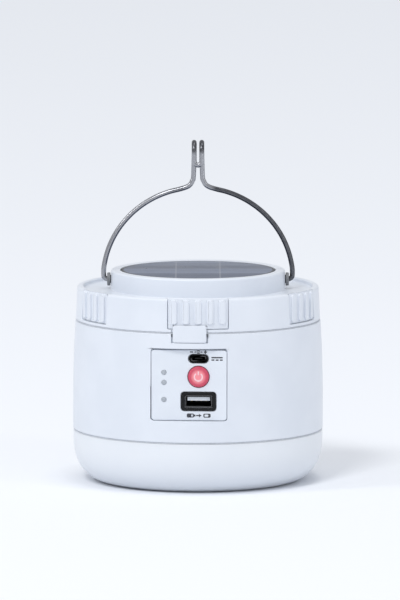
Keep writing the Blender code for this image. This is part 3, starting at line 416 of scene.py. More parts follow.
def button_silicone():
    """Red silicone, deeper at the rim and paler where the thumb lands."""
    f = Finish("button_silicone", IOR=1.43, Subsurface_Weight=0.12, Subsurface_Scale=0.001)
    centre = ON_PANEL @ Vector((COLUMN_X, BUTTON_Z, BUTTON_FRONT))
    away = ((f.x - centre.x) ** 2 + (f.z - centre.z) ** 2) ** 0.5
    lint = f.noise(1300.0, 3.0, 0.7)
    colour = f.blend(away.ease(0.0022, 0.0042), (0.90, 0.30, 0.34), (0.60, 0.075, 0.130))
    colour = f.blend(lint.ease(0.58, 0.82) * 0.35, colour, (0.88, 0.46, 0.50))
    f.set(Base_Color=colour, Roughness=0.42 + 0.16 * lint)
    f.set(Normal=f.bump(f.noise(2800.0, 2.0), 0.000010))
    return f.material


def printed_ink(name, colour):
    """Pad-printed ink: dull, a little broken where it thins."""
    f = Finish(name, IOR=1.45)
    thin = f.noise(2600.0, 3.0, 0.7).ease(0.62, 0.80)
    lighter = tuple(0.6 * c + 0.3 for c in colour)
    f.set(Base_Color=f.blend(thin * 0.4, colour, lighter), Roughness=0.55 + 0.10 * thin)
    return f.material


def polished_wire():
    """Drawn steel: streaks, haze and fine pits, with a painted highlight lightening its left arm and its
    pin.
    """
    f = Finish("polished_wire", Metallic=1.0)
    # Painted highlight: the left arm and the lower part of the pin are made lighter in the colour
    # itself.
    pin = abs(f.x).ease(PIN_HALF_WIDTH + 0.004, PIN_HALF_WIDTH)
    pin = pin * f.z.ease(PIN_HIGHLIGHT_TOP + 0.0015, PIN_HIGHLIGHT_TOP - 0.0015)
    painted_highlight = f.x.ease(0.002, -0.022).either(pin)
    streak = f.noise(420.0, 3.0, 0.6, 0.3, (1.0, 6.0, 1.0))
    haze = f.noise(110.0, 2.0)
    pits = f.cells(1400.0).ease(0.16, 0.05)
    colour = f.blend(streak.ease(0.30, 0.75), (0.135, 0.139, 0.152), (0.080, 0.083, 0.092))
    colour = f.blend(painted_highlight * (1.0 - 0.25 * streak), colour, (0.40, 0.405, 0.43))
    colour = f.blend(pits * 0.4, colour, (0.06, 0.059, 0.058))
    f.set(Base_Color=colour, Roughness=0.20 + 0.12 * haze + 0.20 * pits)
    f.set(Normal=f.bump(streak, 0.000004))
    return f.material


def bare_metal(name, colour, gloss=0.28, grain=1800.0):
    """Plated or bare small metal parts with soft tarnish."""
    f = Finish(name, Metallic=1.0)
    tarnish = f.noise(260.0, 3.0, 0.6)
    fine = f.noise(grain, 3.0, 0.6)
    duller = tuple(0.62 * c for c in colour)
    f.set(Base_Color=f.blend(tarnish.ease(0.40, 0.75) * 0.6, colour, duller),
          Roughness=gloss + 0.16 * tarnish, Normal=f.bump(fine, 0.000006))
    return f.material


def socket_shell():
    """Darkened folded shell of a socket, with deep shade painted inside its mouth."""
    f = Finish("socket_shell", Metallic=1.0)
    outward = ON_PANEL.to_3x3() @ Vector((0.0, 0.0, 1.0))
    depth = f.x * outward.x + f.y * outward.y
    # Painted shade: the shell turns near black with depth inside the mouth.
    shade = depth.ease(SHELL_MOUTH - 0.0002, SHELL_MOUTH - 0.0022)
    wear = f.noise(900.0, 3.0, 0.6)
    colour = f.blend(wear.ease(0.4, 0.7) * 0.6, (0.14, 0.14, 0.145), (0.22, 0.22, 0.225))
    f.set(Base_Color=f.blend(shade, colour, (0.010, 0.010, 0.011)), Roughness=0.32 + 0.25 * wear,
          Normal=f.bump(wear, 0.000006))
    return f.material


def soft_rubber(name, colour, grain=2200.0, rough=0.62):
    """Silicone or rubber: dull, with lint and small pores."""
    f = Finish(name, IOR=1.43)
    lint = f.noise(grain / 2, 3.0, 0.7)
    paler = tuple(min(1.0, c * 1.35 + 0.02) for c in colour)
    f.set(Base_Color=f.blend(lint.ease(0.45, 0.80) * 0.6, colour, paler), Roughness=rough + 0.16 * lint,
          Normal=f.bump(f.cells(grain), 0.000012))
    return f.material


def closed_foam():
    """Closed-cell foam: open bubbles in a dull black skin."""
    f = Finish("closed_foam", IOR=1.3)
    bubbles = f.cells(2600.0)
    f.set(Base_Color=f.blend(bubbles.ease(0.1, 0.5), (0.012, 0.012, 0.013), (0.05, 0.05, 0.052)),
          Roughness=0.85 + 0.10 * bubbles, Normal=f.bump(bubbles, 0.00005))
    return f.material


def solar_silicon():
    """Blue-grey silicon strips with silver fingers and tinned ribbons."""
    f = Finish("solar_silicon", IOR=1.9)
    ribbon = f.x.line(-RIBBON_X, 0.0007, 0.0001).either(f.x.line(RIBBON_X, 0.0007, 0.0001))
    finger = abs(f.y % FINGER_PITCH - FINGER_PITCH / 2).ease(0.00009, 0.00005)
    grain = f.cells(160.0, "Color")
    shade = f.node("ShaderNodeSeparateColor", None, {0: grain})
    colour = f.blend(shade * 0.5, (0.070, 0.082, 0.112), (0.100, 0.114, 0.150))
    colour = f.blend(finger * 0.7, colour, (0.52, 0.54, 0.57))
    colour = f.blend(ribbon, colour, (0.66, 0.67, 0.68))
    f.set(Base_Color=colour, Metallic=0.85 * ribbon.either(finger * 0.4))
    f.set(Roughness=0.34 + 0.08 * shade, Normal=f.bump(ribbon + 0.3 * finger, 0.00003))
    return f.material


def cell_laminate():
    """Satin laminate over the cells: strips, fingers and ribbons show in its face, in a dark border,
    with painted shade towards its front edge.
    """
    f = Finish("cell_laminate", IOR=1.40, Specular_IOR_Level=0.24, Specular_Tint=(0.70, 0.81, 1.0))
    border = f.radius().ease(CELLS_RADIUS - 0.0006, CELLS_RADIUS - 0.0003)
    row = (f.y / CELL_PITCH + 0.5).whole()
    tone = f.node("ShaderNodeTexWhiteNoise", {"noise_dimensions": "1D"}, {"W": row + 3.0}, out="Value")
    across = abs((f.y + CELL_PITCH / 2) % CELL_PITCH - CELL_PITCH / 2)
    gap = across.ease(CELL_WIDTH / 2 - 0.0001, CELL_WIDTH / 2 + 0.0001)
    ribbon = f.x.line(-RIBBON_X, 0.00028, 0.0001).either(f.x.line(RIBBON_X, 0.00028, 0.0001))
    finger = abs(f.y % FINGER_PITCH - FINGER_PITCH / 2).ease(0.00010, 0.00005)
    cloud = f.noise(120.0, 3.0, 0.6)
    emboss = f.cells(1500.0)
    dust = f.noise(1700.0, 3.0, 0.7).ease(0.62, 0.80)
    colour = f.blend(tone * 0.75 + 0.25 * cloud, (0.045, 0.061, 0.108), (0.155, 0.189, 0.278))
    # Painted shade: the laminate darkens towards its front edge.
    colour = f.blend(f.y.ease(-0.020, -0.037) * 0.5, colour, (0.030, 0.036, 0.052))
    colour = f.blend(finger * 0.45, colour, (0.26, 0.27, 0.30))
    colour = f.blend(gap, colour, (0.022, 0.026, 0.036))
    colour = f.blend(ribbon * 0.5, colour, (0.32, 0.33, 0.37))
    colour = f.blend(border, colour, (0.012, 0.014, 0.018))
    colour = f.blend(dust * 0.10, colour, (0.50, 0.51, 0.53))
    f.set(Base_Color=colour, Roughness=0.24 + 0.12 * cloud + 0.25 * dust)
    f.set(Normal=f.bump(emboss, 0.000025, f.bump(cloud, 0.00004)))
    return f.material


def clear_pipe():
    """Milky light pipes, frosted on their ends."""
    f = Finish("clear_pipe", IOR=1.49, Transmission_Weight=0.15)
    frost = f.noise(2400.0, 3.0, 0.6)
    f.set(Base_Color=f.blend(frost.ease(0.4, 0.7), (0.52, 0.56, 0.61), (0.40, 0.44, 0.49)),
          Roughness=0.22 + 0.30 * frost, Normal=f.bump(frost, 0.000010))
    return f.material


def circuit_board(name, mask_colour, track_colour):
    """Solder mask over copper tracks and plated holes on a fine grid."""
    f = Finish(name, IOR=1.52)
    across = abs((f.x % 0.0025) - 0.00125)
    along = abs((f.z % 0.0040) - 0.0020)
    routed = f.noise(240.0, 0.0).ease(0.50, 0.53)
    tracks = across.ease(0.00035, 0.00025) * routed
    tracks = tracks.either(along.ease(0.00035, 0.00025) * (1 - routed))
    weave = f.noise(1500.0, 2.0)
    colour = f.blend(tracks * 0.8, mask_colour, track_colour)
    colour = f.blend(weave.ease(0.5, 0.8) * 0.2, colour, tuple(0.7 * c for c in mask_colour))
    f.set(Base_Color=colour, Roughness=0.34 + 0.14 * weave)
    f.set(Normal=f.bump(tracks + 0.2 * weave, 0.000025))
    return f.material


def lamp_board():
    """White solder mask with yellow phosphor on the lamps that stand below the board."""
    f = Finish("lamp_board", IOR=1.5)
    lamp = f.z.ease(0.02750, 0.02742)
    stain = f.noise(900.0, 2.0).ease(0.4, 0.7)
    colour = f.blend(stain * 0.25, (0.78, 0.78, 0.76), (0.69, 0.69, 0.67))
    phosphor = f.blend(f.noise(3000.0, 2.0).ease(0.4, 0.7), (0.83, 0.66, 0.12), (0.74, 0.55, 0.08))
    f.set(Base_Color=f.blend(lamp, colour, phosphor), Roughness=0.38 + 0.15 * stain,
          Normal=f.bump(stain, 0.00001))
    return f.material


def cell_sleeve():
    """Blue heat-shrink sleeve with its shiny folds, bare steel at the ends."""
    f = Finish("cell_sleeve", IOR=1.5)
    end = abs(f.x).ease(0.0312, 0.0316)
    folds = f.noise(180.0, 2.0, 0.5, 0.5, (0.3, 2.0, 2.0))
    colour = f.blend(folds.ease(0.4, 0.7) * 0.5, (0.020, 0.105, 0.30), (0.030, 0.150, 0.38))
    f.set(Base_Color=f.blend(end, colour, (0.62, 0.62, 0.62)), Metallic=end)
    f.set(Roughness=0.22 + 0.16 * folds, Normal=f.bump(folds, 0.00003))
    return f.material


# Mesh tools
def new_object(name, mesh):
    obj = bpy.data.objects.new(name, mesh)
    bpy.context.scene.collection.objects.link(obj)
    return obj


def face_out(bm):
    """Turn every face of a closed mesh to its outside."""
    bmesh.ops.recalc_face_normals(bm, faces=bm.faces[:])
    if bm.calc_volume(signed=True) < 0:
        bmesh.ops.reverse_faces(bm, faces=bm.faces[:])


def from_bmesh(name, bm):
    face_out(bm)
    mesh = bpy.data.meshes.new(name)
    bm.to_mesh(mesh)
    bm.free()
    mesh.shade_smooth()
    return new_object(name, mesh)


def stack(obj, kind, **settings):
    step = obj.modifiers.new(kind.title(), kind)
    for name, value in settings.items():
        setattr(step, name, value)


def settle(obj):
    """Apply the object's whole stack."""
    graph = bpy.context.evaluated_depsgraph_get()
    mesh = bpy.data.meshes.new_from_object(obj.evaluated_get(graph))
    obj.modifiers.clear()
    old = obj.data
    if obj.type == "MESH":
        obj.data = mesh
        bpy.data.meshes.remove(old)
        return obj
    name = obj.name
    bpy.data.objects.remove(obj)
    bpy.data.curves.remove(old)
    return new_object(name, mesh)


def moved(obj, place):
    """Put a piece's place into its mesh."""
    obj.data.transform(place)
    return obj


def combine(obj, other, operation):
    stack(obj, "BOOLEAN", operation=operation, solver="EXACT", object=other)
    settle(obj)
    mesh = other.data
    bpy.data.objects.remove(other)
    bpy.data.meshes.remove(mesh)


def cut(obj, *cutters):
    for cutter in cutters:
        combine(obj, cutter, "DIFFERENCE")


def join(obj, *others):
    for other in others:
        combine(obj, other, "UNION")


def soft_edges(obj, width, segments=3):
    """Rounded moulded edges, with shading that keeps the broad faces calm."""
    obj.data.shade_smooth()
    stack(obj, "BEVEL", width=width, segments=segments, limit_method="ANGLE",
          angle_limit=EDGE_ANGLE, use_clamp_overlap=False, miter_outer="MITER_ARC")
    stack(obj, "WEIGHTED_NORMAL", weight=60, keep_sharp=True)


def soft_shade(obj):
    """Shading that stays crisp at a piece's own edges."""
    obj.data.shade_smooth()
    obj.data.set_sharp_from_angle(angle=EDGE_ANGLE)
    stack(obj, "WEIGHTED_NORMAL", weight=60, keep_sharp=True)


def turned(name, profile, steps=TURNED_STEPS):
    """Turn a closed profile of (radius, height, fillet) corners, listed from top to bottom outside."""
    count = len(profile)
    widest = max(fillet for _, _, fillet in profile) or GAP
    mesh = bpy.data.meshes.new(name)
    edges = [(k, (k + 1) % count) for k in range(count)]
    mesh.from_pydata([(r, 0.0, z) for r, z, _ in profile], edges, [])
    weights = mesh.attributes.new("bevel_weight_vert", "FLOAT", "POINT")
    for k, (_, _, fillet) in enumerate(profile):
        weights.data[k].value = fillet / widest
    obj = new_object(name, mesh)
    stack(obj, "BEVEL", affect="VERTICES", limit_method="WEIGHT", width=widest, segments=5,
          use_clamp_overlap=False)
    stack(obj, "SCREW", steps=steps, render_steps=steps, use_merge_vertices=True, merge_threshold=1e-6,
          use_smooth_shade=True)
    return outwards(settle(obj))


def outwards(obj):
    """Close a turned piece's seam and turn its faces to the outside."""
    bm = bmesh.new()
    bm.from_mesh(obj.data)
    bmesh.ops.remove_doubles(bm, verts=bm.verts[:], dist=1e-7)
    face_out(bm)
    bm.to_mesh(obj.data)
    bm.free()
    return obj


def solid_turned(name, profile, steps=FINE_STEPS):
    """Turn an open profile that starts and ends on the axis."""
    mesh = bpy.data.meshes.new(name)
    edges = [(k, k + 1) for k in range(len(profile) - 1)]
    mesh.from_pydata([(r, 0.0, z) for r, z in profile], edges, [])
    obj = new_object(name, mesh)
    stack(obj, "SCREW", steps=steps, render_steps=steps, use_merge_vertices=True, merge_threshold=1e-6,
          use_smooth_shade=True)
    return outwards(settle(obj))


def arc(centre_x, centre_y, radius, start, end, steps):
    """Points along an arc, in degrees."""
    angles = [math.radians(start + (end - start) * k / steps) for k in range(steps + 1)]
    return [(centre_x + radius * math.cos(a), centre_y + radius * math.sin(a)) for a in angles]


def rounded(width, height, radius, x=0.0, y=0.0, steps=6):
    points = []
    for quarter, (sx, sy) in enumerate(((1, 1), (-1, 1), (-1, -1), (1, -1))):
        points += arc(x + sx * (width / 2 - radius), y + sy * (height / 2 - radius), radius,
                      90 * quarter, 90 * quarter + 90, steps)
    return points


def circle(radius, x=0.0, y=0.0, sides=48):
    return arc(x, y, radius, 0.0, 360.0, sides)[:-1]


def plate(name, outline, low, high, place=Matrix.Identity(4)):
    """Extrude an outline of (x, y) points from low to high along local Z."""
    bm = bmesh.new()
    base = [bm.verts.new((x, y, low)) for x, y in outline]
    face = bm.faces.new(base)
    swept = bmesh.ops.extrude_face_region(bm, geom=[face], use_keep_orig=True)
    top = [v for v in swept["geom"] if isinstance(v, bmesh.types.BMVert)]
    bmesh.ops.translate(bm, verts=top, vec=(0.0, 0.0, high - low))
    bm.transform(place)
    return from_bmesh(name, bm)


def wrapped(obj, radius, degrees=0.0, step=0.0012):
    """Bend a flat plate round the drum: its X runs along the drum, its Y up and its Z outwards."""
    bm = bmesh.new()
    bm.from_mesh(obj.data)
    xs = [v.co.x for v in bm.verts]
    columns = max(1, round((max(xs) - min(xs)) / step))
    for k in range(1, columns):
        x = min(xs) + (max(xs) - min(xs)) * k / columns
        bmesh.ops.bisect_plane(bm, geom=bm.verts[:] + bm.edges[:] + bm.faces[:], dist=1e-7,
                               plane_co=(x, 0.0, 0.0), plane_no=(1.0, 0.0, 0.0))
    for v in bm.verts:
        angle = v.co.x / radius + math.radians(degrees)
        v.co = (v.co.z * math.sin(angle), -v.co.z * math.cos(angle), v.co.y)
    bm.to_mesh(obj.data)
    bm.free()
    return obj


def ready(obj, finish, body, slot, *nodes):
    """Give a piece its finish, its body and the CAD nodes that it stands for."""
    if obj.type == "MESH":
        obj.data.materials.clear()
    obj.data.materials.append(finish)
    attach(obj, body)
    if nodes:
        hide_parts(*nodes)


# Turned shells
def bowl_curve(flat, reach, top, bottom, steps):
    """Rounded lower edge, from its upright top down to the flat."""
    power = 2 / BOWL_POWER
    points = []
    for k in range(steps + 1):
        angle = math.radians(90) * k / steps
        points.append((flat + reach * math.cos(angle) ** power,
                       top - (top - bottom) * math.sin(angle) ** power))
    return points


def make_bowl(finish):
    inner_radius = SPIGOT_RADIUS - SPIGOT_WALL
    reach = BOWL_RADIUS - BOWL_FLAT_RADIUS
    profile = [(SPIGOT_RADIUS, bowl_high.z, 0.0003), (SPIGOT_RADIUS, BOWL_RIM_Z, 0.0),
               (BOWL_RADIUS, BOWL_RIM_Z, 0.0004)]
    profile += [(r, z, 0.0) for r, z in bowl_curve(BOWL_FLAT_RADIUS, reach, BOWL_CURVE_TOP, 0.0, 30)]
    profile += [(FOOT_RECESS_RADIUS + 0.0002, 0.0, 0.0001), (FOOT_RECESS_RADIUS, FOOT_RECESS, 0.0001),
                (GATE_HOLE, FOOT_RECESS, 0.0), (GATE_HOLE, WALL, 0.0)]
    inner = bowl_curve(BOWL_FLAT_RADIUS, reach - WALL, BOWL_CURVE_TOP, WALL, 12)
    profile += [(r, z, 0.0) for r, z in reversed(inner)]
    profile += [(inner_radius, BOWL_CURVE_TOP + WALL, 0.0), (inner_radius, bowl_high.z, 0.0003)]
    bowl = turned("lamp_bowl", profile)
    join(bowl, plate("gate", circle(GATE_RADIUS), 0.0001, WALL - 0.0002))
    soft_shade(bowl)
    ready(bowl, finish, "housing", "milky_pc", "diffuser_bowl")


def drum_radius(z):
    drawn = max(0.0, (z - DRUM_TAPER_START) / (drum_high.z - DRUM_TAPER_START))
    return DRUM_RADIUS - DRUM_TAPER * drawn ** 2


def make_drum(finish):
    top = drum_high.z
    seal_high = top - CAP_SEAL_DEPTH
    seal_low = drum_low.z + BOWL_SEAL_DEPTH
    profile = [(DRUM_LIP_RADIUS, top, 0.0002), (drum_radius(top), top, 0.0005)]
    for k in range(1, DRUM_LEVELS):
        z = top - (top - DRUM_TAPER_START) * k / DRUM_LEVELS
        profile.append((drum_radius(z), z, 0.0))
    profile += [(DRUM_RADIUS, DRUM_TAPER_START, 0.0), (DRUM_RADIUS, drum_low.z, 0.0006),
                (DRUM_SEAL_RADIUS, drum_low.z, 0.0002), (DRUM_SEAL_RADIUS, seal_low, 0.0),
                (BORE_RADIUS, seal_low, 0.0), (BORE_RADIUS, BORE_STRAIGHT_TOP, 0.0),
                (BORE_TOP_RADIUS, seal_high, 0.0), (DRUM_LIP_RADIUS, seal_high, 0.0)]
    drum = turned("drum_shell", profile)
    height = PANEL_TOP - PANEL_BOTTOM
    around = rounded(PANEL_WIDTH + 2 * PAST, height + 2 * BLOCK_MARGIN, 0.0005, 0.0, PANEL_MIDDLE, 1)
    block = plate("block", around, BLOCK_BACK, BLOCK_FRONT, ON_PANEL)
    combine(block, plate("limit", circle(BLOCK_LIMIT, sides=TURNED_STEPS), 0.0300, 0.0790), "INTERSECT")
    join(drum, block)
    holes = [rounded(*CHARGE_WINDOW, COLUMN_X, CHARGE_Z),
             circle(BUTTON_RADIUS + GAP, COLUMN_X, BUTTON_Z), rounded(*USB_WINDOW, COLUMN_X, USB_Z, 3)]
    holes += [circle(LAMP_HOLE, LAMP_X, z, 24) for z in LAMP_HEIGHTS]
    pocket = rounded(PANEL_WIDTH, height, PANEL_CORNER, 0.0, PANEL_MIDDLE)
    cutters = [plate("pocket", pocket, POCKET, OUTSIDE, ON_PANEL)]
    cutters += [plate("hole", outline, BLOCK_BACK - PAST, POCKET + PAST, ON_PANEL) for outline in holes]
    width = TONGUE_WIDTH + 2 * TONGUE_SIDE_GAP
    low = clip_low.z - GAP
    high = top + 0.004
    slot = plate("slot", rounded(width, high - low, 0.0010, TONGUE_X, (low + high) / 2),
                 TONGUE_INNER - GAP, OUTSIDE)
    cutters.append(wrapped(slot, TONGUE_FACE))
    width, height = PANEL_WIDTH - 0.0016, INLAY_SLOT + GAP
    slot = rounded(width, height, 0.0002, 0.0, PANEL_TOP - height / 2, 1)
    cutters.append(plate("slot", slot, POCKET - SLOT_DEPTH, POCKET + PAST, ON_PANEL))
    for side in (-1, 1):
        x = TONGUE_X + side * (TONGUE_WIDTH + TONGUE_SIDE_GAP) / 2
        groove = plate("groove", rounded(TONGUE_SIDE_GAP, high - low, 0.0001, x, (low + high) / 2, 1),
                       BORE_TOP_RADIUS + 0.0004, OUTSIDE)
        cutters.append(wrapped(groove, TONGUE_FACE, step=0.0006))
    cut(drum, *cutters)
    soft_edges(drum, 0.00022, 2)
    ready(drum, finish, "housing", "white_abs", "body_shell")


def clip_pocket(width, degrees=0.0):
    low = side_low.z - GAP
    high = RIM_TOP + 0.004
    flat = plate("pocket", rounded(width + 2 * GAP, high - low, 0.0006, 0.0, (low + high) / 2, 3),
                 CLIP_INNER - GAP, OUTSIDE)
    return wrapped(flat, CLIP_FACE, degrees)


def make_cap(finish):
    inner = RIM_RADIUS - WALL
    spigot_inner = CAP_SPIGOT_RADIUS - CAP_SPIGOT_WALL
    floor_under = CHANNEL_FLOOR - WALL
    top = cap_high.z
    profile = [(RECESS_RADIUS, LEDGE_TOP, 0.0002), (RECESS_RADIUS, top, 0.0004),
               (DAIS_RADIUS, top, 0.0011), (DAIS_RADIUS, CHANNEL_FLOOR, 0.0006),
               (CHANNEL_OUTER, CHANNEL_FLOOR, 0.0006), (CHANNEL_OUTER + 0.0002, RIM_TOP, 0.0007),
               (RIM_RADIUS, RIM_TOP, 0.0014), (RIM_RADIUS + 0.0003, SKIRT_BREAK, 0.0040),
               (CAP_RADIUS, CAP_BOTTOM, 0.0005), (CAP_SPIGOT_RADIUS, CAP_BOTTOM, 0.0),
               (CAP_SPIGOT_RADIUS, cap_low.z, 0.0003), (spigot_inner, cap_low.z, 0.0),
               (spigot_inner, SPIGOT_TAPER[0], 0.0), (inner, SPIGOT_TAPER[1], 0.0),
               (inner, floor_under, 0.0), (DAIS_RADIUS - WALL, floor_under, 0.0),
               (DAIS_RADIUS - WALL, LEDGE_BOTTOM, 0.0), (LEDGE_RADIUS, LEDGE_BOTTOM, 0.0),
               (LEDGE_RADIUS, LEDGE_TOP, 0.0002)]
    cap = turned("dais_cap", profile)
    cutters = [clip_pocket(FRONT_RIBS * RIB_PITCH)]
    cutters += [clip_pocket(SIDE_RIBS * RIB_PITCH, degrees) for degrees in SIDE_CLIPS.values()]
    low = CAP_BOTTOM - PAST
    high = side_low.z + WALL
    width = TONGUE_WIDTH + 2 * TONGUE_SIDE_GAP
    slot = plate("slot", rounded(width, high - low, 0.0002, TONGUE_X, (low + high) / 2, 1),
                 TONGUE_INNER - 2 * GAP, OUTSIDE)
    cutters.append(wrapped(slot, TONGUE_FACE))
    for side in (-1, 1):
        cutters.append(plate("bail_hole", circle(BUSH_RADIUS + GAP), DAIS_RADIUS - 0.0027,
                             DAIS_RADIUS + 0.002, pivot_frame(side)))
    cut(cap, *cutters)
    soft_edges(cap, 0.00020, 2)
    ready(cap, finish, "housing", "white_abs", "top_cap")


def make_seals(finish):
    """Each seal is a round cord in its groove with a thin lip that shows in the seam."""
    seams = {"cap_seal": ((drum_high.z + CAP_BOTTOM) / 2, CAP_SEAL_LIP),
             "bowl_seal": ((BOWL_RIM_Z + drum_low.z) / 2, BOWL_SEAL_LIP)}
    for name, (seam, (inside, outside)) in seams.items():
        low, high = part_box(name)
        cord = (high.z - low.z) / 2
        middle = (high.z + low.z) / 2
        core = high.x - cord
        section = [(r, z, 0.0) for r, z in arc(core, middle, cord, 90.0, -270.0, 12)[:-1]]
        ring = turned(f"{name}_cord", section)
        band = turned("lip", [(inside, seam + SEAL_LIP, 0.0), (outside, seam + SEAL_LIP, 0.0001),
                              (outside, seam - SEAL_LIP, 0.0001), (inside, seam - SEAL_LIP, 0.0)])
        ring.data.shade_smooth()
        ready(ring, finish, "housing", "seal_rubber", name)
        soft_shade(band)
        band.name = f"{name}_lip"
        ready(band, finish, "housing", "seal_rubber")


# Clips
def ribbed_block(name, ribs, face, degrees=0.0, foot=RIB_FOOT):
    """Curved snap clip whose face carries upright rounded ribs, from foot above its lower edge."""
    low, high = side_low.z, side_high.z
    middle = (low + high) / 2
    rib_low, rib_high = low + foot, high - RIB_FOOT
    outline = rounded(ribs * RIB_PITCH, high - low, 0.0004, 0.0, middle, 3)
    block = wrapped(plate(name, outline, CLIP_INNER, face), CLIP_FACE, degrees)
    for k in range(ribs):
        x = (k - (ribs - 1) / 2) * RIB_PITCH
        outline = rounded(RIB_WIDTH, rib_high - rib_low, RIB_ROUND, x, (rib_low + rib_high) / 2)
        rib = plate("rib", outline, face - 0.0003, face + RIB_HEIGHT)
        join(block, wrapped(rib, CLIP_FACE, degrees, 0.0006))
    return block


def make_clips(finish):
    front = ribbed_block("front_clip_block", FRONT_RIBS, CLIP_FACE, foot=FRONT_RIB_FOOT)
    low = clip_low.z
    high = side_low.z + 0.0018
    middle = (low + high) / 2
    base = rounded(0.97 * TONGUE_WIDTH, 0.0016, 0.0002, TONGUE_X, high - 0.0009, 1)
    shoulder = plate("shoulder", base, CLIP_INNER + 0.0001, TONGUE_FACE - 0.0002)
    tongue = plate("tongue", rounded(TONGUE_WIDTH, high - low, 0.0010, TONGUE_X, middle), TONGUE_INNER,
                   TONGUE_FACE)
    join(front, wrapped(shoulder, TONGUE_FACE), wrapped(tongue, TONGUE_FACE))
    soft_edges(front, CLIP_EDGE)
    ready(front, finish, "housing", "white_abs", "front_clip")
    for side, degrees in SIDE_CLIPS.items():
        clip = ribbed_block(f"{side}_clip_block", SIDE_RIBS, SIDE_CLIP_FACE, degrees)
        soft_edges(clip, CLIP_EDGE)
        ready(clip, finish, "housing", "white_abs", f"{side}_clip")


# Solar panel
def strip_outline(low, high, radius, steps=10):
    """The band of the cell circle between two values of y."""
    limit = 0.999 * radius
    low, high = max(low, -limit), min(high, limit)
    heights = [low + (high - low) * k / steps for k in range(steps + 1)]
    right = [(math.sqrt(radius ** 2 - y * y), y) for y in heights]
    return right + [(-x, y) for x, y in reversed(right)]


def make_solar_panel(silicon, laminate):
    bottom, top = cells_low.z, cells_high.z
    cells = None
    for row in range(CELL_ROWS):
        middle = (row - (CELL_ROWS - 1) / 2) * CELL_PITCH
        outline = strip_outline(middle - CELL_WIDTH / 2, middle + CELL_WIDTH / 2, CELLS_RADIUS)
        strip = plate("solar_strips", outline, bottom, top - RIBBON_STEP)
        cells = cells or strip
        if strip is not cells:
            join(cells, strip)
    for x in (-RIBBON_X, RIBBON_X):
        outline = rounded(RIBBON_WIDTH, RIBBON_LENGTH, 0.0002, x, 0.0, 2)
        join(cells, plate("ribbon", outline, bottom + RIBBON_STEP, top))
    soft_shade(cells)
    ready(cells, silicon, "housing", "silicon", "solar_cells")
    edge = cover_high.x
    bottom, top = cover_low.z, cover_high.z
    corner = arc(edge - COVER_ROUND, top - COVER_ROUND, COVER_ROUND, 0.0, 90.0, 5)
    profile = [(0.0, top), *reversed(corner), (edge, bottom), (0.0, bottom)]
    cover = solid_turned("cell_cover", profile, TURNED_STEPS)
    ready(cover, laminate, "housing", "clear_resin", "solar_cover")


# Bail
def pivot_frame(side):
    """Frame on the bail's axis whose Z points out of the dais on one side."""
    return Matrix.Translation(PIVOT) @ Matrix.Rotation(side * math.radians(90), 4, "Y")


def bail_half():
    """Centre line of one side of the bail, from its end in the dais to the closed tip of the hook."""
    corner = BAIL_HALF_SPAN - BAIL_BEND
    points = [(BAIL_END_X, 0.0, 0.0), (corner - 0.001, 0.0, 0.0)]
    points += [(x, 0.0, z) for x, z in arc(corner, BAIL_BEND, BAIL_BEND, -90.0, 0.0, 6)[:-2]]
    for k in range(17):
        angle = math.radians(6 + 72.5 * k / 16)
        points.append((BAIL_HALF_SPAN * math.cos(angle), 0.0, BAIL_RISE * math.sin(angle)))
    points += [(0.0058, 0.0, SHOULDER - 0.0004), (0.0038, 0.0, SHOULDER + 0.0009),
               (0.0028, 0.0, SHOULDER + 0.0027), (STEM_HALF_GAP, 0.0, SHOULDER + 0.0050)]
    points += [(HOOK_HALF_GAP, -HOOK_BEND + y, STEM_TOP + z)
               for y, z in arc(0.0, 0.0, HOOK_BEND, 0.0, 180.0, 10)]
    points += [(x, -2 * HOOK_BEND, HOOK_TIP + z)
               for x, z in arc(0.0, 0.0, HOOK_HALF_GAP, 0.0, -90.0, 5)]
    return points


def smooth_route(points, spacing):
    """Points read from a smooth curve through a route's own points."""
    route = [Vector(p) for p in points]
    ends = [2 * route[0] - route[1], *route, 2 * route[-1] - route[-2]]
    line = []
    for a, b, c, d in zip(ends, ends[1:], ends[2:], ends[3:]):
        steps = max(1, round((c - b).length / spacing))
        for k in range(steps):
            t = k / steps
            bend = (2 * b + (c - a) * t + (2 * a - 5 * b + 4 * c - d) * t * t
                    + (3 * b - a - 3 * c + d) * t ** 3)
            line.append(bend / 2)
    line.append(route[-1])
    return line


def make_bail(finish):
    right = bail_half()
    left = [(-x, y, z) for x, y, z in reversed(right[:-1])]
    line = smooth_route(right + left, 0.0006)
    curve = bpy.data.curves.new("bail_wire", "CURVE")
    curve.dimensions = "3D"
    curve.bevel_depth = WIRE_RADIUS
    curve.bevel_resolution = 6
    curve.use_fill_caps = True
    spline = curve.splines.new("POLY")
    spline.points.add(len(line) - 1)
    for target, point in zip(spline.points, line):
        target.co = (*(point + PIVOT), 1.0)
    wire = settle(new_object("bail_wire", curve))
    wire.data.shade_smooth()
    ready(wire, finish, "bail", "steel", "wire_bail")


def make_bushes(finish):
    inner = DAIS_RADIUS - WALL - 0.0004
    outer = bush_high.x
    flange = outer - BUSH_FLANGE
    for name, side in (("left", -1), ("right", 1)):
        profile = [(BUSH_HOLE, outer, 0.0002), (bush_high.y, outer, 0.0005),
                   (bush_high.y, flange, 0.0002), (BUSH_RADIUS, flange, 0.0),
                   (BUSH_RADIUS, inner, 0.0002), (BUSH_HOLE, inner, 0.0)]
        bush = moved(turned(f"{name}_bush", profile, FINE_STEPS), pivot_frame(side))
        soft_shade(bush)
        ready(bush, finish, "housing", "grey_abs", f"bail_bush_{name}")


# Control panel
def clearance(size):
    """Outline round a socket's surround, one gap larger on every side."""
    width, height, corner = size
    return width + 2 * GAP, height + 2 * GAP, corner + GAP


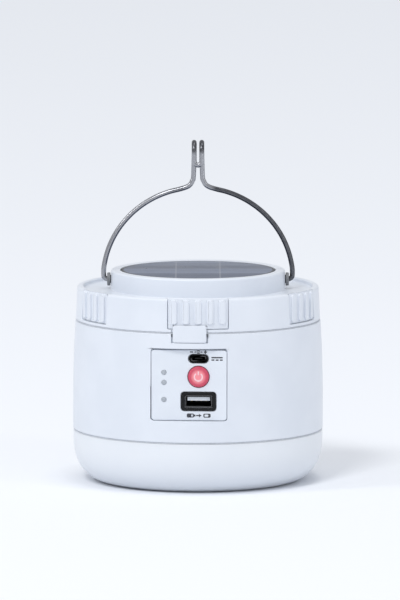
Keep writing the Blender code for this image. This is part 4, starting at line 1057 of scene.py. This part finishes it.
def make_inlay(finish):
    width = PANEL_WIDTH - 2 * GAP
    height = PANEL_TOP - PANEL_BOTTOM - INLAY_SLOT - 2 * GAP
    middle = PANEL_MIDDLE - INLAY_SLOT / 2
    back = FACET - INLAY
    outline = rounded(width, height, PANEL_CORNER, 0.0, middle)
    inlay = plate("panel_inlay", outline, back, FACET, ON_PANEL)
    windows = [rounded(*clearance(CHARGE_SURROUND), COLUMN_X, CHARGE_Z),
               circle(BUTTON_RADIUS + GAP, COLUMN_X, BUTTON_Z),
               rounded(*clearance(USB_SURROUND), COLUMN_X, USB_Z)]
    windows += [circle(LAMP_HOLE, LAMP_X, z, 24) for z in LAMP_HEIGHTS]
    cut(inlay, *[plate("window", outline, back - PAST, FACET + PAST, ON_PANEL) for outline in windows])
    soft_edges(inlay, 0.00018)
    ready(inlay, finish, "housing", "white_abs", "control_panel")


def make_socket_frame(kind, height, frame_size, window_size, finish):
    around = rounded(*frame_size, COLUMN_X, height)
    window = rounded(*window_size, COLUMN_X, height, 4)
    surround = plate(f"{kind}_frame", around, FACET - INLAY, FACET + GAP, ON_PANEL)
    cut(surround, plate("window", window, FACET - WALL, FACET + PAST, ON_PANEL))
    soft_edges(surround, 0.00022)
    ready(surround, finish, "housing", "black_plastic", f"{kind}_surround")


def make_button(silicone, paler):
    crown = BUTTON_FRONT - MARK_HEIGHT
    edge = crown - 0.0001
    reach = BUTTON_CROWN_RADIUS
    profile = [(0.0, edge), (reach - 0.0012, crown), (reach, edge)]
    profile += reversed(arc(reach, edge - BUTTON_ROUND, BUTTON_ROUND, 0.0, 90.0, 6))
    profile += [(BUTTON_RADIUS, BUTTON_BACK), (FLANGE_RADIUS, BUTTON_BACK),
                (FLANGE_RADIUS, FLANGE_BACK), (PLUNGER_RADIUS, FLANGE_BACK),
                (PLUNGER_RADIUS, PLUNGER_BACK), (0.0, PLUNGER_BACK)]
    centre = ON_PANEL @ Matrix.Translation((COLUMN_X, BUTTON_Z, 0.0))
    button = moved(solid_turned("push_button", profile), centre)
    soft_shade(button)
    ready(button, silicone, "button", "red_silicone", "power_button")
    # The raised mark is the plain on-off sign: a broken ring and a bar.
    ring = arc(0.0, 0.0, MARK_RADIUS, 125.0, 415.0, 28)
    ring += arc(0.0, 0.0, MARK_RADIUS - MARK_LINE, 415.0, 125.0, 28)
    stroke = rounded(MARK_LINE, 0.0020, 0.0003, 0.0, 0.0019, 3)
    mark = plate("button_mark", ring, crown - GAP, BUTTON_FRONT)
    join(mark, plate("bar", stroke, crown - GAP, BUTTON_FRONT))
    moved(mark, centre)
    soft_edges(mark, 0.00006, 2)
    ready(mark, paler, "button", "red_silicone")


def make_light_pipes(finish):
    """Three domed light pipes on their bar behind the block."""
    low, high = min(LAMP_HEIGHTS) - 0.0016, max(LAMP_HEIGHTS) + 0.0016
    outline = rounded(0.0028, high - low, 0.0004, LAMP_X, (low + high) / 2, 3)
    pipes = plate("light_pipes", outline, *PIPE_BAR, ON_PANEL)
    stem, stem_top, stem_end = PIPE_STEM
    profile = [*PIPE_DOME, (PIPE_RADIUS, PIPE_SHOULDER), (PIPE_RADIUS, stem_top), (stem, stem_top),
               (stem, stem_end), (0.0, stem_end)]
    for z in LAMP_HEIGHTS:
        rod = solid_turned("rod", profile, 32)
        join(pipes, moved(rod, ON_PANEL @ Matrix.Translation((LAMP_X, z, 0.0))))
    soft_shade(pipes)
    ready(pipes, finish, "housing", "clear_resin", "indicator_light_pipes")


def make_tongue_contacts(finish):
    """Four spring contacts under the outlet's tongue."""
    for k in range(4):
        x = COLUMN_X + (k - 1.5) * CONTACT_PITCH
        outline = rounded(0.0010, 0.00012, 0.00005, x, USB_Z + 0.00018, 2)
        contact = plate(f"usb_contact_{k + 1}", outline, BOARD_FRONT + 0.0016, CONTACT_FRONT, ON_PANEL)
        soft_shade(contact)
        ready(contact, finish, "housing", "steel")


def bar(width, height, x, z):
    return rounded(width, height, 0.3 * min(width, height), x, z, 3)


def print_sign(name, ink, inks, clears=()):
    """A pad-printed sign on the inlay: the outlines in inks, less those in clears."""
    sign = plate(name, inks[0], INK_BASE, INK_FACE, ON_PANEL)
    join(sign, *[plate("ink", outline, INK_BASE, INK_FACE, ON_PANEL) for outline in inks[1:]])
    cut(sign, *[plate("clear", outline, INK_BASE - GAP, INK_FACE + GAP, ON_PANEL)
                for outline in clears])
    ready(sign, ink, "housing", "black_plastic")


def make_signs(ink):
    """Polarity over the charging socket, direct current beside it, battery to device by the outlet."""
    x, z = COLUMN_X, CHARGE_Z + 0.0033
    print_sign("polarity_sign", ink, [circle(0.00092, x, z, 24)], [circle(0.00058, x, z, 24)])
    print_sign("polarity_pole", ink, [circle(0.00034, x, z, 16)])
    for side, name in ((-1, "minus"), (1, "plus")):
        print_sign(f"polarity_link_{name}", ink, [bar(0.0009, INK_LINE, x + side * 0.0016, z)])
        arms = [bar(0.0017, INK_LINE, x + side * 0.0034, z)]
        if side > 0:
            arms.append(bar(INK_LINE, 0.0017, x + side * 0.0034, z))
        print_sign(f"polarity_{name}", ink, arms)
    x = COLUMN_X + 0.0092
    print_sign("current_line", ink, [bar(0.0056, CURRENT_LINE, x, CHARGE_Z + 0.0006)])
    for k in (-1, 0, 1):
        dash = bar(0.0015, CURRENT_LINE, x + k * 0.00205, CHARGE_Z - 0.0006)
        print_sign(f"current_dash_{k + 2}", ink, [dash])
    x, z = COLUMN_X, USB_Z - 0.0070
    battery = [bar(0.0036, 0.0020, x - 0.0040, z), bar(0.0010, 0.0010, x - 0.0020, z)]
    print_sign("battery_sign", ink, battery, [bar(0.0007, 0.0011, x - 0.0032, z)])
    head = [(x + 0.0015, z), (x + 0.0003, z + 0.0009), (x + 0.0003, z - 0.0009)]
    print_sign("outlet_arrow", ink, [bar(0.0018, INK_LINE, x - 0.0003, z), head])
    device = bar(0.0036, 0.0020, x + 0.0042, z)
    print_sign("device_sign", ink, [device], [bar(0.0019, 0.0011, x + 0.0039, z)])


# CAD nodes that keep their own shape
def dress(finish, *names):
    for name in names:
        node = NODES[name]
        node.data.materials.clear()
        node.data.materials.append(finish)


def numbered(stem, count):
    return [f"{stem}_{k}" for k in range(1, count + 1)]


# Studio
LENS = 500.0
SENSOR = 36.0
VIEW_HEIGHT = 1.5           # times the view's width
LANTERN_SHARE = 0.625       # of the view's width
ELEVATION = math.radians(6.9)
AIM = Vector((0.0010, 0.0, 0.0900))
LIGHTS_AIM = Vector((0.0, 0.0, 0.08))
SKY = (0.945, 0.963, 1.0, 1.0)
SKY_STRENGTH = 0.66


def make_camera():
    data = bpy.data.cameras.new("camera")
    data.lens = LENS
    data.sensor_width = SENSOR
    view_height = 2 * DRUM_RADIUS * VIEW_HEIGHT / LANTERN_SHARE
    distance = view_height * LENS / SENSOR
    camera = new_object("camera", data)
    camera.location = AIM + distance * Vector((0.0, -math.cos(ELEVATION), math.sin(ELEVATION)))
    camera.rotation_euler = (math.radians(90) - ELEVATION, 0.0, 0.0)
    data.clip_end = 200.0
    bpy.context.scene.camera = camera


def soft_light(name, size, place, power):
    data = bpy.data.lights.new(name, "AREA")
    data.shape = "RECTANGLE"
    data.size, data.size_y = size
    data.energy = power
    light = new_object(name, data)
    light.location = place
    light.rotation_euler = (LIGHTS_AIM - Vector(place)).to_track_quat("-Z", "Y").to_euler()


def make_studio():
    floor = Finish("studio_floor", Specular_IOR_Level=0.0, Roughness=1.0)
    paper = floor.noise(3.0, 2.0)
    floor.set(Base_Color=floor.blend(paper * 0.3, (0.875, 0.895, 0.930), (0.862, 0.884, 0.921)))
    bm = bmesh.new()
    bmesh.ops.create_circle(bm, cap_ends=True, segments=64, radius=60.0)
    ground = from_bmesh("floor", bm)
    ground.data.materials.append(floor.material)
    world = bpy.data.worlds.new("studio")
    world.use_nodes = True
    background = world.node_tree.nodes["Background"]
    background.inputs["Color"].default_value = SKY
    background.inputs["Strength"].default_value = SKY_STRENGTH
    bpy.context.scene.world = world
    soft_light("key", (3.6, 3.6), (-4.5, -10.5, 12.6), 765.0)
    soft_light("top", (3.0, 3.0), (1.0, -1.0, 12.5), 225.0)
    soft_light("right_strip", (0.10, 1.2), (1.0, -0.75, 0.5), 1.6)
    soft_light("left_high", (0.3, 0.6), (-1.3, -0.6, 1.2), 4.5)
    bpy.context.scene.view_settings.view_transform = "Standard"


def build():
    shell = shell_plastic("shell_plastic", seams=SEAM_HEIGHTS)
    make_bowl(milky_polycarbonate())
    make_drum(shell)
    make_cap(shell)
    make_clips(shell_plastic("clip_plastic", 3200.0, 0.30))
    make_seals(soft_rubber("seal_silicone", (0.60, 0.63, 0.68)))
    make_solar_panel(solar_silicon(), cell_laminate())
    make_bail(polished_wire())
    make_bushes(dark_plastic("bush_plastic", (0.20, 0.205, 0.215), 0.42))
    make_inlay(panel_plastic())
    black = dark_plastic("socket_plastic")
    make_socket_frame("usb", USB_Z, USB_SURROUND, USB_WINDOW, black)
    make_socket_frame("charge", CHARGE_Z, CHARGE_SURROUND, CHARGE_WINDOW, black)
    make_button(button_silicone(), soft_rubber("button_mark_silicone", (0.92, 0.60, 0.64)))
    make_light_pipes(clear_pipe())
    make_tongue_contacts(bare_metal("gold_flash", (0.86, 0.62, 0.26), 0.20))
    make_signs(printed_ink("grey_ink", (0.06, 0.063, 0.075)))

    dress(closed_foam(), "panel_gasket")
    dress(circuit_board("solar_board_green", (0.018, 0.10, 0.05), (0.05, 0.20, 0.09)), "solar_board")
    dress(circuit_board("control_board_green", (0.015, 0.13, 0.06), (0.05, 0.24, 0.11)), "control_board")
    dress(lamp_board(), "light_board")
    dress(socket_shell(), "usb_shell", "charge_shell")
    dress(bare_metal("nickel_plate", (0.66, 0.66, 0.67), 0.24), "battery_contact_left",
          "battery_contact_right")
    dress(panel_plastic(), "usb_tongue")
    dress(black, "charge_tongue", "tact_switch")
    dress(dark_plastic("chip_resin", (0.022, 0.022, 0.024), 0.52), "charge_chip", "driver_chip")
    dress(bare_metal("zinc_screw", (0.62, 0.62, 0.64), 0.30), *numbered("board_screw", 4),
          *numbered("light_board_screw", 3), *numbered("tray_screw", 4), *numbered("cradle_screw", 2))
    dress(soft_rubber("ferrite_core", (0.05, 0.05, 0.053), 1600.0, 0.55), "boost_inductor")
    dress(bare_metal("can_aluminium", (0.78, 0.79, 0.81), 0.30, 900.0), "input_capacitor",
          "output_capacitor")
    dress(shell_plastic("tray_plastic", 1800.0, 0.34), "light_tray")
    dress(dark_plastic("cradle_plastic", (0.16, 0.165, 0.175), 0.46), "battery_cradle")
    dress(cell_sleeve(), "battery_cell_front", "battery_cell_rear")
    red = soft_rubber("red_lead_insulation", (0.55, 0.02, 0.02), 1200.0, 0.38)
    dark = soft_rubber("black_lead_insulation", (0.015, 0.015, 0.016), 1200.0, 0.38)
    for run in ("solar", "battery", "light"):
        dress(red, f"{run}_lead_red")
        dress(dark, f"{run}_lead_black")


make_camera()
make_studio()
build()
